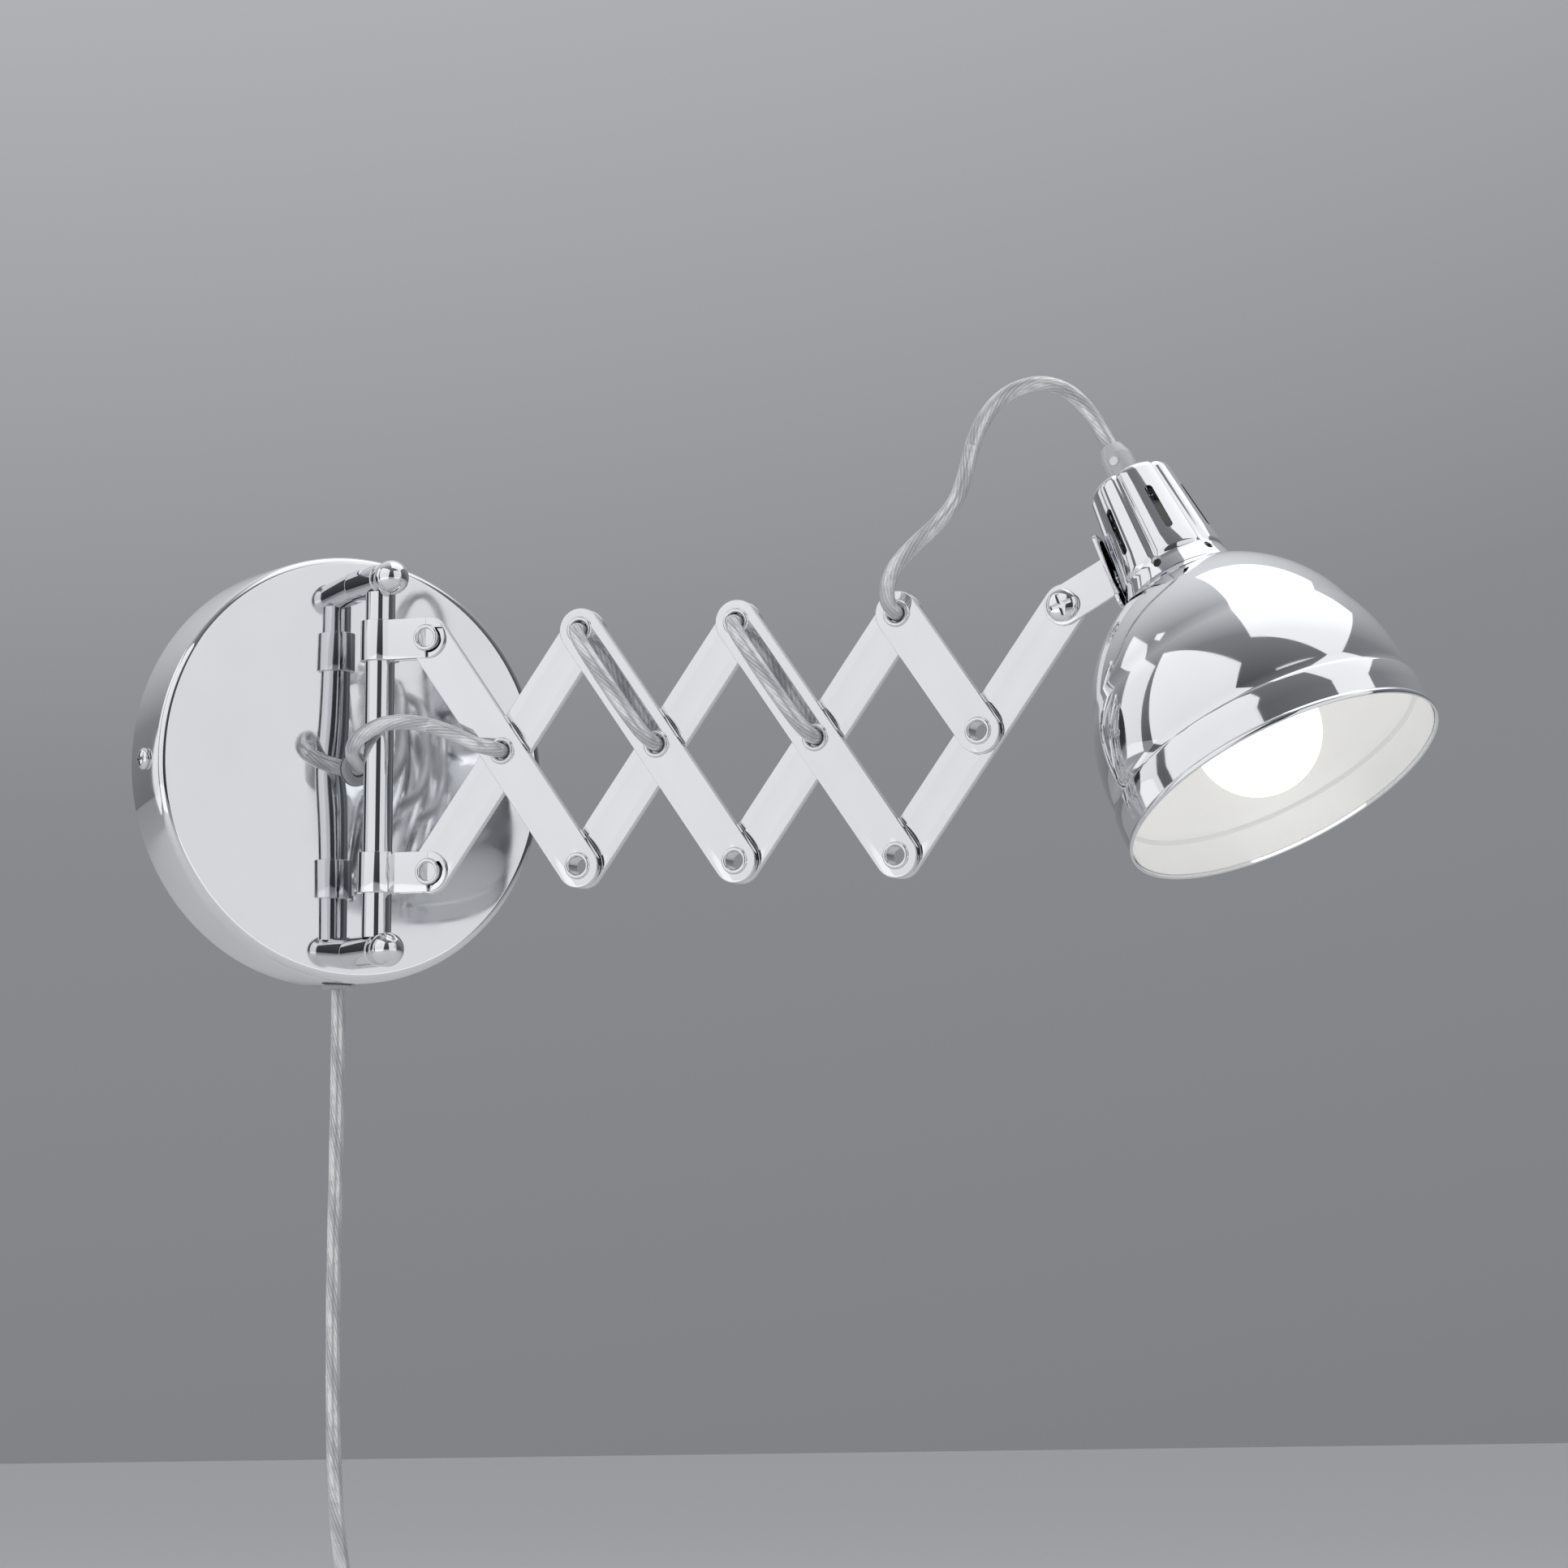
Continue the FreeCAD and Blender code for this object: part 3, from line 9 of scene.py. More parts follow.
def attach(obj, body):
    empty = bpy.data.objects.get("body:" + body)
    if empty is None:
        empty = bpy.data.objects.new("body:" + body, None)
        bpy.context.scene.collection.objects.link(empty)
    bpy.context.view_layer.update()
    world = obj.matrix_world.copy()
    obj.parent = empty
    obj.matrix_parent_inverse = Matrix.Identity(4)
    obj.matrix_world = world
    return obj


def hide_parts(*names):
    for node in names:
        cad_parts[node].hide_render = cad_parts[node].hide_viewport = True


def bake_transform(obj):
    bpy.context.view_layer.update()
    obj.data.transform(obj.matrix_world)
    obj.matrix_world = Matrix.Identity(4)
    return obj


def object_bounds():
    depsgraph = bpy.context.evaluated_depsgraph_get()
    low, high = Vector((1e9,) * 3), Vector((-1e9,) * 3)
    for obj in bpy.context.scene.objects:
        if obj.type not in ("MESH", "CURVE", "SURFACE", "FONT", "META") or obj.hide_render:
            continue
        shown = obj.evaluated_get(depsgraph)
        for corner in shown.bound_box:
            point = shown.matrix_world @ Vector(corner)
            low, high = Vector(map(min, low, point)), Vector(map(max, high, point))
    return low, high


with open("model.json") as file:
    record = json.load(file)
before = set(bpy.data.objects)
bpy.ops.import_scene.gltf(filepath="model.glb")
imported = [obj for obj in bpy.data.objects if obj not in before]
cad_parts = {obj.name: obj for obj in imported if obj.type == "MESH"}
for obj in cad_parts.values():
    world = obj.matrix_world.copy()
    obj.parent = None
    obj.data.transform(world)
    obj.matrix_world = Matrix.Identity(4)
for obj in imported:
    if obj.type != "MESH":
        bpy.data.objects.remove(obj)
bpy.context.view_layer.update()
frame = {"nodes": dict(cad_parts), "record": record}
NODES = frame["nodes"]

MM = 0.001
SWIVEL = math.radians(54.0)
FOLD = math.radians(54.5)
BAR_PITCH = 53.0
LEAN = math.radians(28.7)
TWIST = math.radians(8.0)
POST_Y = -43.0
ARM_OFFSET = 21.0
ARM_HEIGHT = 46.0
RUN = BAR_PITCH * math.cos(FOLD)
RISE = BAR_PITCH * math.sin(FOLD)
BAR_HALF_WIDTH = 8.0
BAR_THICKNESS = 3.0
RIVET_HOLE_R = 3.85
SCREW_HOLE_R = 2.55
CORD_R = 2.8
UV_LENGTH = 0.02
STANDOFF_Z = 69.0
CANOPY_R = 80.0
CANOPY_DEPTH = 25.0
MAINS_Y = -13.0
HEAD_OFFSET = 39.0
HEAD_SIDE = 8.3
TILT_HEIGHT = 99.5
NECK_BASE = 84.0
NECK_TOP = 129.0
NECK_ROUNDING = 2.8
NECK_TOP_R = 15.2
NECK_TAPER = math.radians(6.5)
NECK_GROOVE = 1.5
LOBES = 6
SHADE_SHEET = 0.8
BULB_R = 22.5

PIVOTS = {
    "u": (0, 0), "l": (0, 2), "x1": (1, 1), "t1": (2, 0), "b1": (2, 2), "x2": (3, 1), "t2": (4, 0),
    "b2": (4, 2), "x3": (5, 1), "t3": (6, 0), "b3": (6, 2), "p4": (7, 1), "end": (8, 0),
}
BARS = {
    "a": ("u", -1, "front", 2), "b": ("l", 1, "back", 2), "c": ("t1", -1, "front", 2),
    "d": ("b1", 1, "back", 2), "e": ("t2", -1, "front", 2), "f": ("b2", 1, "back", 2),
    "g": ("t3", -1, "front", 1), "h": ("b3", 1, "back", 2),
}


def move(x=0, y=0, z=0):
    return Matrix.Translation(Vector((x, y, z)))


def turn(angle, axis):
    return Matrix.Rotation(angle, 4, axis)


ARM = move(0, POST_Y, 0) @ turn(-SWIVEL, "Z")
FRONT = turn(math.pi / 2, "X")


def arm_at(pivot, y=0, angle=0):
    """A place in the arm's plane, at one of its pivots."""
    columns, rows = PIVOTS[pivot]
    spot = move(ARM_OFFSET + RUN * columns, y, ARM_HEIGHT - RISE * rows)
    return ARM @ spot @ turn(angle, "Y")


TILT = arm_at("end", 0, -LEAN)
SHADE = TILT @ move(HEAD_OFFSET, HEAD_SIDE, 0) @ turn(-TWIST, "X") @ move(0, 0, -TILT_HEIGHT)


# ---------------------------------------------------------------- camera
def make_camera():
    """The camera at the photograph's angle."""
    data = bpy.data.cameras.new("camera")
    data.sensor_width = 36
    data.lens = 111.39
    data.clip_start = 0.05
    data.clip_end = 50
    camera = bpy.data.objects.new("camera", data)
    bpy.context.scene.collection.objects.link(camera)
    yaw, pitch, roll = math.radians(32.18), math.radians(6.25), math.radians(-0.26)
    aim = turn(-yaw, "Z") @ turn(math.pi / 2 + pitch, "X") @ turn(-roll, "Z")
    camera.matrix_world = Matrix.Translation(Vector((-0.8234, -1.6335, -0.2019))) @ aim
    bpy.context.scene.camera = camera


make_camera()


# ---------------------------------------------------------------- materials
class Nodes:
    """Short hand for building one material's nodes."""

    def __init__(self, name):
        self.material = bpy.data.materials.new(name)
        self.material.use_nodes = True
        self.tree = self.material.node_tree
        self.shader = self.tree.nodes["Principled BSDF"]

    def add(self, kind, **inputs):
        node = self.tree.nodes.new(kind)
        for key, value in inputs.items():
            name = key.replace("_", " ")
            if isinstance(value, bpy.types.NodeSocket):
                self.tree.links.new(value, node.inputs[name])
            else:
                node.inputs[name].default_value = value
        return node

    def link(self, socket, name):
        self.tree.links.new(socket, self.shader.inputs[name])

    def set(self, **inputs):
        for key, value in inputs.items():
            self.shader.inputs[key.replace("_", " ")].default_value = value

    def place(self):
        return self.add("ShaderNodeTexCoord").outputs["Object"]

    def noise(self, scale, detail):
        node = self.add("ShaderNodeTexNoise", Vector=self.place(), Scale=scale, Detail=detail)
        return node.outputs["Fac"]

    def helix(self, around, along):
        """Bands wound round a cord: so many round it, moving on by so many in each UV length."""
        lie = self.add("ShaderNodeUVMap").outputs["UV"]
        phase = self.add("ShaderNodeVectorMath", Vector=lie)
        phase.operation = "DOT_PRODUCT"
        band = math.pi / 10
        phase.inputs[1].default_value = (around * band, along * band, 0)
        wave = self.add("ShaderNodeTexWave", Vector=phase.outputs["Value"], Scale=1.0)
        return wave.outputs["Fac"]

    def ramp(self, value, low, high, first=0.3, last=0.7):
        """A value or colour between low and high where value goes from first to last."""
        node = self.add("ShaderNodeValToRGB", Fac=value)
        points = node.color_ramp.elements
        for point, position, colour in ((points[0], first, low), (points[1], last, high)):
            point.position = position
            point.color = colour if isinstance(colour, tuple) else (colour, colour, colour, 1)
        return node.outputs["Color"]

    def bump(self, height, strength, distance):
        node = self.add("ShaderNodeBump", Height=height, Strength=strength, Distance=distance)
        self.link(node.outputs["Normal"], "Normal")


def shaded(colour, share):
    """The colour at a share of its brightness."""
    return tuple(share * c for c in colour[:3]) + (1,)


def chrome(name):
    m = Nodes(name)
    m.set(Metallic=1.0)
    colour = (0.79, 0.8, 0.82, 1)
    m.link(m.ramp(m.noise(24, 4), shaded(colour, 0.955), colour), "Base Color")
    m.link(m.ramp(m.noise(90, 5), 0.03, 0.075), "Roughness")
    m.bump(m.noise(30, 2), 0.012, 0.0004)
    return m.material


def plastic(name, colour, roughness=0.35, coat=0.0, scale=400.0, depth=0.08):
    m = Nodes(name)
    m.set(Coat_Weight=coat, Coat_Roughness=0.12, IOR=1.46)
    m.link(m.ramp(m.noise(60, 3), shaded(colour, 0.93), colour), "Base Color")
    m.link(m.ramp(m.noise(120, 4), roughness * 0.85, min(1.0, roughness * 1.2)), "Roughness")
    m.bump(m.noise(scale, 3), depth, 0.0003)
    return m.material


def zinc(name):
    m = Nodes(name)
    m.set(Metallic=1.0)
    m.link(m.ramp(m.noise(35, 5), (0.58, 0.59, 0.6, 1), (0.74, 0.75, 0.76, 1)), "Base Color")
    m.link(m.ramp(m.noise(80, 5), 0.24, 0.42), "Roughness")
    m.bump(m.noise(500, 2), 0.15, 0.0002)
    return m.material


def clear_jacket(name):
    """Clear PVC over two twisted cores: tinned strands with darker gaps between the cores."""
    m = Nodes(name)
    m.set(Roughness=0.16, IOR=1.52, Coat_Weight=0.8, Coat_Roughness=0.06)
    cores = m.helix(2, 0.7)
    strands = m.helix(14, 4.9)
    silver = m.add("ShaderNodeMix", Factor=0.45, A=cores, B=strands).outputs["Result"]
    worn = m.add("ShaderNodeMath", Value=m.noise(260, 3))
    worn.operation = "MULTIPLY"
    m.tree.links.new(silver, worn.inputs[1])
    m.link(m.ramp(worn.outputs[0], (0.4, 0.41, 0.425, 1), (0.82, 0.83, 0.84, 1), 0.04, 0.44),
           "Base Color")
    m.link(m.ramp(worn.outputs[0], 0.0, 0.3, 0.1, 0.4), "Metallic")
    m.bump(silver, 0.1, 0.0002)
    return m.material


def enamel(name):
    m = Nodes(name)
    m.set(Roughness=0.28, Coat_Weight=0.35, Coat_Roughness=0.1)
    m.link(m.ramp(m.noise(18, 3), (0.87, 0.87, 0.865, 1), (0.9, 0.9, 0.895, 1)), "Base Color")
    m.bump(m.noise(170, 2), 0.06, 0.0003)
    return m.material


def opal(name):
    m = Nodes(name)
    m.set(Roughness=0.18, Coat_Weight=0.5, Emission_Strength=1.3)
    m.link(m.ramp(m.noise(40, 2), (0.93, 0.92, 0.9, 1), (0.96, 0.955, 0.94, 1)), "Base Color")
    m.set(Emission_Color=(1.0, 0.985, 0.95, 1))
    m.bump(m.noise(300, 2), 0.02, 0.0002)
    return m.material


RUBBER = (0.42, 0.43, 0.44, 1)
PLUG = (0.55, 0.565, 0.575, 1)
MATERIALS = {
    "chrome_plate": chrome("chrome_plate"),
    "zinc_steel": zinc("zinc_steel"),
    "nylon": plastic("nylon", (0.86, 0.86, 0.84, 1), 0.42),
    "white_plastic": plastic("white_plastic", (0.87, 0.87, 0.85, 1), 0.32, 0.2),
    "grommet_rubber": plastic("grommet_rubber", RUBBER, 0.45, 0.1),
    "cord_jacket": clear_jacket("cord_jacket"),
    "plug_plastic": plastic("plug_plastic", PLUG, 0.3, 0.4, 250.0, 0.1),
    "enamel": enamel("enamel"),
    "opal_glass": opal("opal_glass"),
}

NATURAL = plastic("natural_sleeve", (0.6, 0.61, 0.62, 1), 0.25, 0.6)

slot_of = {item["node"]: item["material_slot"] for item in frame["record"]["subparts"]}
body_of = {}
for body_name, members in frame["record"]["behaviour"]["bodies"].items():
    for member in members:
        body_of[member] = body_name


def finish_piece(obj, node, material=None, smooth=True, replace=True):
    """The piece rides on its CAD node's body and takes the node's finish."""
    data = obj.data
    data.materials.clear()
    data.materials.append(material or MATERIALS[slot_of[node]])
    if smooth:
        data.shade_smooth()
    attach(obj, body_of[node])
    if replace:
        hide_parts(node)


def new_object(name, data):
    obj = bpy.data.objects.new(name, data)
    bpy.context.scene.collection.objects.link(obj)
    return obj


def mesh_object(name, bm):
    """A plain object made from a bmesh, which is freed."""
    mesh = bpy.data.meshes.new(name)
    bm.to_mesh(mesh)
    bm.free()
    return new_object(name, mesh)


def take_mesh(bm, part):
    """Adds an object's mesh to the bmesh and removes the object."""
    mesh = part.data
    bm.from_mesh(mesh)
    bpy.data.objects.remove(part)
    bpy.data.meshes.remove(mesh)


def metres(matrix):
    return Matrix.Scale(MM, 4) @ matrix


# ---------------------------------------------------------------- shapes
def rounded(corners, closed=True):
    """Points of an outline whose corners (x, y, radius) are rounded."""
    points = []
    count = len(corners)
    for index, corner in enumerate(corners):
        x, y = corner[:2]
        radius = corner[2] if len(corner) > 2 else 0
        spot = Vector((x, y))
        ends = not closed and index in (0, count - 1)
        if radius <= 0 or ends:
            points.append(spot)
            continue
        back = Vector(corners[index - 1][:2]) - spot
        ahead = Vector(corners[(index + 1) % count][:2]) - spot
        bend = math.pi - back.angle(ahead)
        if bend < 0.02:
            points.append(spot)
            continue
        reach = min(radius * math.tan(bend / 2), 0.49 * back.length, 0.49 * ahead.length)
        steps = max(2, int(math.ceil(math.degrees(bend) / 18)))
        first = spot + back.normalized() * reach
        last = spot + ahead.normalized() * reach
        for step in range(steps + 1):
            t = step / steps
            points.append(first * (1 - t) ** 2 + spot * 2 * t * (1 - t) + last * t ** 2)
    return points


def arc_points(start, end, radius, side, steps):
    """Points on the arc from start to end, without start; side is where its centre lies."""
    a, b = Vector(start), Vector(end)
    chord = b - a
    left = Vector((-chord.y, chord.x)).normalized()
    rise = math.sqrt(max(radius ** 2 - (chord.length / 2) ** 2, 0))
    centre = (a + b) / 2 + left * rise * side
    begin = math.atan2(a.y - centre.y, a.x - centre.x)
    finish = math.atan2(b.y - centre.y, b.x - centre.x)
    sweep = (finish - begin + math.pi) % (2 * math.pi) - math.pi
    return [
        (centre.x + radius * math.cos(begin + sweep * i / steps),
         centre.y + radius * math.sin(begin + sweep * i / steps))
        for i in range(1, steps + 1)
    ]


def lathe(name, outline, matrix, segments=96, closed=True):
    """A turned piece: an outline of (radius, height) spun about the matrix's Z."""
    bm = bmesh.new()
    rings = []
    for point in outline:
        r, z = point[0], point[1]
        if r < 1e-4:
            rings.append([bm.verts.new((0, 0, z))])
        else:
            rings.append([
                bm.verts.new((r * math.cos(2 * math.pi * k / segments),
                              r * math.sin(2 * math.pi * k / segments), z))
                for k in range(segments)
            ])
    pairs = list(zip(rings, rings[1:]))
    if closed:
        pairs.append((rings[-1], rings[0]))
    for low, high in pairs:
        if len(low) == 1 and len(high) == 1:
            continue
        for k in range(segments):
            n = (k + 1) % segments
            if len(low) == 1:
                bm.faces.new((low[0], high[n], high[k]))
            elif len(high) == 1:
                bm.faces.new((low[k], low[n], high[0]))
            else:
                bm.faces.new((low[k], low[n], high[n], high[k]))
    bmesh.ops.recalc_face_normals(bm, faces=bm.faces)
    bm.transform(metres(matrix))
    return mesh_object(name, bm)


def sharp_smooth(obj, angle=32):
    """Smooth shading with true edges kept."""
    obj.data.shade_smooth()
    obj.data.set_sharp_from_angle(angle=math.radians(angle))
    return obj


def to_mesh(obj, name):
    """The evaluated mesh of a curve or of an object with modifiers, as a plain object."""
    depsgraph = bpy.context.evaluated_depsgraph_get()
    mesh = bpy.data.meshes.new_from_object(obj.evaluated_get(depsgraph))
    mesh.name = name
    data = obj.data
    bpy.data.objects.remove(obj)
    if data.users == 0:
        (bpy.data.curves if isinstance(data, bpy.types.Curve) else bpy.data.meshes).remove(data)
    return new_object(name, mesh)


def filled(name, outlines, half, bevel, resolution=2):
    """Closed outlines in XY filled from z=-half to z=half, with bevelled edges."""
    data = bpy.data.curves.new(name + "_outline", "CURVE")
    data.dimensions = "2D"
    data.fill_mode = "BOTH"
    data.extrude = half - bevel
    data.bevel_depth = bevel
    data.bevel_resolution = resolution
    data.offset = -bevel
    for outline in outlines:
        spline = data.splines.new("POLY")
        spline.points.add(len(outline) - 1)
        for point, place in zip(spline.points, outline):
            point.co = (place[0], place[1], 0, 1)
        spline.use_cyclic_u = True
    return to_mesh(new_object(name + "_curve", data), name)


def plate(name, outlines, thickness, bevel, matrix, resolution=2):
    """A flat piece from y=0 to y=-thickness: closed outlines in XZ, the rest of them holes."""
    obj = filled(name, outlines, thickness / 2, bevel, resolution)
    obj.data.transform(metres(matrix @ move(0, -thickness / 2, 0) @ FRONT))
    obj.data.update()
    bm = bmesh.new()
    bm.from_mesh(obj.data)
    bmesh.ops.remove_doubles(bm, verts=bm.verts, dist=1e-6)
    bmesh.ops.recalc_face_normals(bm, faces=bm.faces)
    bm.to_mesh(obj.data)
    bm.free()
    return sharp_smooth(obj, 40)


def ring_points(x, y, radius, count=40, start=0.0, sweep=2 * math.pi):
    """Points on an arc about (x, y), without its last point."""
    return [
        (x + radius * math.cos(start + sweep * k / count),
         y + radius * math.sin(start + sweep * k / count))
        for k in range(count)
    ]


def stadium(x0, x1, radius, count=24):
    """The outline of a strip with round ends about x0 and x1."""
    right = [(x1 + radius * math.cos(a), radius * math.sin(a)) for a in
             [-math.pi / 2 + math.pi * k / count for k in range(count + 1)]]
    left = [(x0 + radius * math.cos(a), radius * math.sin(a)) for a in
            [math.pi / 2 + math.pi * k / count for k in range(count + 1)]]
    return right + left


def route_line(name, points, samples=12):
    """Points read from a smooth spline through the route's control points."""
    data = bpy.data.curves.new(name + "_route", "CURVE")
    data.dimensions = "3D"
    data.resolution_u = samples
    spline = data.splines.new("NURBS")
    spline.points.add(len(points) - 1)
    for point, spot in zip(spline.points, points):
        point.co = (spot[0] * MM, spot[1] * MM, spot[2] * MM, 1)
    spline.order_u = 3
    spline.use_endpoint_u = True
    obj = to_mesh(new_object(name + "_line", data), name + "_line")
    line = [vertex.co.copy() for vertex in obj.data.vertices]
    mesh = obj.data
    bpy.data.objects.remove(obj)
    bpy.data.meshes.remove(mesh)
    clean = [line[0]]
    for point in line[1:]:
        if (point - clean[-1]).length > 2e-5:
            clean.append(point)
    return clean


def length_of(line):
    return sum((b - a).length for a, b in zip(line, line[1:]))


def tube(name, line, sides=20):
    """A round cord along a line, with its UVs in turns round it and UV lengths along it."""
    bm = bmesh.new()
    uv = bm.loops.layers.uv.new("UVMap")
    tangents = []
    for index in range(len(line)):
        before = line[max(index - 1, 0)]
        after = line[min(index + 1, len(line) - 1)]
        tangents.append((after - before).normalized())
    side = tangents[0].orthogonal().normalized()
    rings = []
    travel = [0.0]
    for index, point in enumerate(line):
        if index:
            side = tangents[index - 1].rotation_difference(tangents[index]) @ side
            travel.append(travel[-1] + (point - line[index - 1]).length)
        side = (side - tangents[index] * side.dot(tangents[index])).normalized()
        up = tangents[index].cross(side)
        rings.append([
            bm.verts.new(point + (side * math.cos(a) + up * math.sin(a)) * (CORD_R * MM))
            for a in [2 * math.pi * k / sides for k in range(sides)]
        ])
    for index in range(len(rings) - 1):
        for k in range(sides):
            n = (k + 1) % sides
            face = bm.faces.new((rings[index][k], rings[index][n], rings[index + 1][n],
                                 rings[index + 1][k]))
            spots = ((k, index), (k + 1, index), (k + 1, index + 1), (k, index + 1))
            for loop, (around, along) in zip(face.loops, spots):
                loop[uv].uv = (around / sides, travel[along] / UV_LENGTH)
    bm.faces.new(list(reversed(rings[0])))
    bm.faces.new(rings[-1])
    bmesh.ops.recalc_face_normals(bm, faces=bm.faces)
    return sharp_smooth(mesh_object(name, bm), 50)


# ---------------------------------------------------------------- cords
LEAD_IN = [
    (0, -9, 0), (0.05, -18, 0), (0, -29, 0.1), (-4.2, -33.6, 1.8), (-9, -38.4, 4.4),
    (-10.8, -45, 8), (-8.6, -51, 11.5), (-3.4, -57, 14.4), (3.4, -65, 13.9), (9.6, -73.4, 11.2),
    (14.2, -81.4, 7.2), (17.6, -88, 3.9),
]
ARCH = [
    (204.9, -12.5, 51.3), (208, -15, 59.2), (215.5, -15.5, 67), (224.3, -14.6, 74.3),
    (231.2, -12.3, 82.5), (233.9, -9.6, 92.5), (235, -6.2, 103.5), (238, -2, 114.6),
    (244.3, 3, 123.8), (254.2, 8.5, 128.3), (263.6, 13, 126.2), (270.6, 15.6, 119.4),
]
MAINS = [
    (0, -13, -78.5), (0.3, -13, -130), (-0.3, -12.6, -190), (0.3, -13, -245), (2.6, -13, -283),
    (8.4, -13, -312), (14, -13, -335), (16.4, -13, -352), (16.5, -13, -366),
]
HELD = [
    (0, 0), (0, 6.5), (4, 11), (13, 12.8), (26.5, 13.2), (40, 12.8), (49, 11), (53, 6.5), (53, 0),
]
RIVET_REACH = 7.5
LEAD_IN_CUTS = [0.036, 0.073]
GLAND_TOP = 144.5
COIL_SPREAD = 1.006
LOOP_RADIUS, LOOP_PITCH, LOOP_TURNS, TAIL = 33.5, 6.1, 5.9, 34.0


def spot(matrix, x, y, z):
    return tuple(matrix @ Vector((x, y, z)))


def coil_radius(count):
    """The coil winds in for half its turns and out again on top of them."""
    half = LOOP_TURNS / 2
    return LOOP_RADIUS + LOOP_PITCH * (abs(count - half) - half / 2)


def coil_point(count):
    """A point of the coil after so many turns; it climbs one layer half way."""
    part = min(max((count - LOOP_TURNS / 2) / 0.5 + 0.5, 0), 1)
    climb = LOOP_PITCH * part * part * (3 - 2 * part)
    angle = 2 * math.pi * count
    r = coil_radius(count)
    return Vector((r * math.cos(angle), -climb, -r * math.sin(angle)))


def make_mains():
    lead = Vector(MAINS[-1])
    centre = Vector((lead.x - coil_radius(0), lead.y, lead.z - 2 * CORD_R))
    per_turn = 16
    count = int(round(LOOP_TURNS * per_turn))
    turns = [tuple(centre + coil_point(LOOP_TURNS * k / count) * COIL_SPREAD)
             for k in range(1, count)]
    end = centre + coil_point(LOOP_TURNS)
    angle = 2 * math.pi * LOOP_TURNS
    away = Vector((-math.sin(angle), 0, -math.cos(angle)))
    tail = [tuple(end), tuple(end + away * TAIL * 0.5), tuple(end + away * TAIL)]
    line = route_line("mains", MAINS + [tuple(centre + coil_point(0))] + turns + tail, 6)
    obj = tube("mains_lead", line, sides=16)
    finish_piece(obj, "mains_cord")
    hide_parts("mains_coil")


def cord_piece(name, line, node, replace):
    """One stretch of a free flex over one joint, made as a fixed tube that rides on no body."""
    obj = tube(name, line)
    obj.data.materials.append(MATERIALS["cord_jacket"])
    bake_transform(obj)
    if replace:
        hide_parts(node)


def split_line(line, cuts):
    """The line's stretches between the lengths in cuts."""
    travel = [0.0]
    for a, b in zip(line, line[1:]):
        travel.append(travel[-1] + (b - a).length)
    edges = [0.0] + cuts + [travel[-1]]
    pieces = []
    for low, high in zip(edges, edges[1:]):
        inner = [p for p, t in zip(line, travel) if low + 1e-4 < t < high - 1e-4]
        pieces.append([point_at(line, travel, low)] + inner + [point_at(line, travel, high)])
    return pieces


def point_at(line, travel, wanted):
    """The point at a length along the line, whose points lie at the lengths in travel."""
    for index in range(len(line) - 1):
        if travel[index + 1] >= wanted - 1e-9:
            gap = travel[index + 1] - travel[index]
            t = (wanted - travel[index]) / gap if gap else 0
            return line[index].lerp(line[index + 1], min(max(t, 0), 1))
    return line[-1].copy()


def make_lead_in():
    pivot = arm_at("x1")
    points = LEAD_IN + [spot(pivot, 0, -RIVET_REACH, 0), spot(pivot, 0, 0, 0)]
    line = route_line("lead_in", points)
    first, second, third = split_line(line, LEAD_IN_CUTS)
    cord_piece("lead_in_base", first, "flex_lead_in",
               True)
    cord_piece("lead_in_post", second, "flex_lead_in",
               False)
    cord_piece("lead_in_arm", third, "flex_lead_in",
               False)


def make_arch():
    pivot = arm_at("t3")
    points = [spot(pivot, 0, 0, 0), spot(pivot, 0, -RIVET_REACH, 0)]
    points += [spot(ARM, *point) for point in ARCH]
    points += [spot(SHADE, 0, 0, GLAND_TOP + 3 * CORD_R), spot(SHADE, 0, 0, GLAND_TOP - CORD_R)]
    line = route_line("arch", points)
    first, second = split_line(line, [length_of(line) / 2])
    cord_piece("arch_arm", first, "flex_arch",
               True)
    cord_piece("arch_head", second, "flex_arch",
               False)


def make_held(node, bar, first, side):
    """A flex held to a bar between two rivets, from its hole numbered first."""
    start, slope = BARS[bar][:2]
    place = arm_at(start, 0, -FOLD * slope)
    points = [spot(place, first * BAR_PITCH + x, out * side, 0) for x, out in HELD]
    obj = tube(node + "_cord", route_line(node, points))
    finish_piece(obj, node, smooth=False)


make_mains()
make_lead_in()
make_arch()
for held_node, held_bar, held_first, held_side in (
    ("flex_back_b", "b", 1, 1), ("flex_front_c", "c", 0, -1), ("flex_back_d", "d", 1, 1),
    ("flex_front_e", "e", 0, -1), ("flex_back_f", "f", 1, 1),
):
    make_held(held_node, held_bar, held_first, held_side)


# ---------------------------------------------------------------- canopy
def make_canopy():
    inside, floor = CANOPY_R - 1, CANOPY_DEPTH - 1
    outline = rounded([
        (5, floor), (inside, floor, 2), (inside, 0, 0.3), (CANOPY_R, 0, 0.3),
        (CANOPY_R, CANOPY_DEPTH, 3.5), (5, CANOPY_DEPTH, 0.2),
    ])
    obj = lathe("canopy_dish", outline, FRONT, 160)
    finish_piece(sharp_smooth(obj), "canopy_shell", smooth=False)
    for label, place in (
        ("outlet_bush", move(0, -CANOPY_DEPTH, 0) @ FRONT),
        ("mains_grommet", move(0, MAINS_Y, -CANOPY_R) @ turn(math.pi, "X")),
    ):
        bush = lathe(label + "_ring", rounded([
            (2.95, -2.6, 0.4), (6.5, -2.6, 0.5), (6.5, -1.2), (4.9, -1.2), (4.9, 0.3),
            (6.5, 0.3, 0.2), (5.9, 1.8, 0.7), (2.95, 1.8, 0.5),
        ]), place, 48)
        finish_piece(sharp_smooth(bush), label, smooth=False)


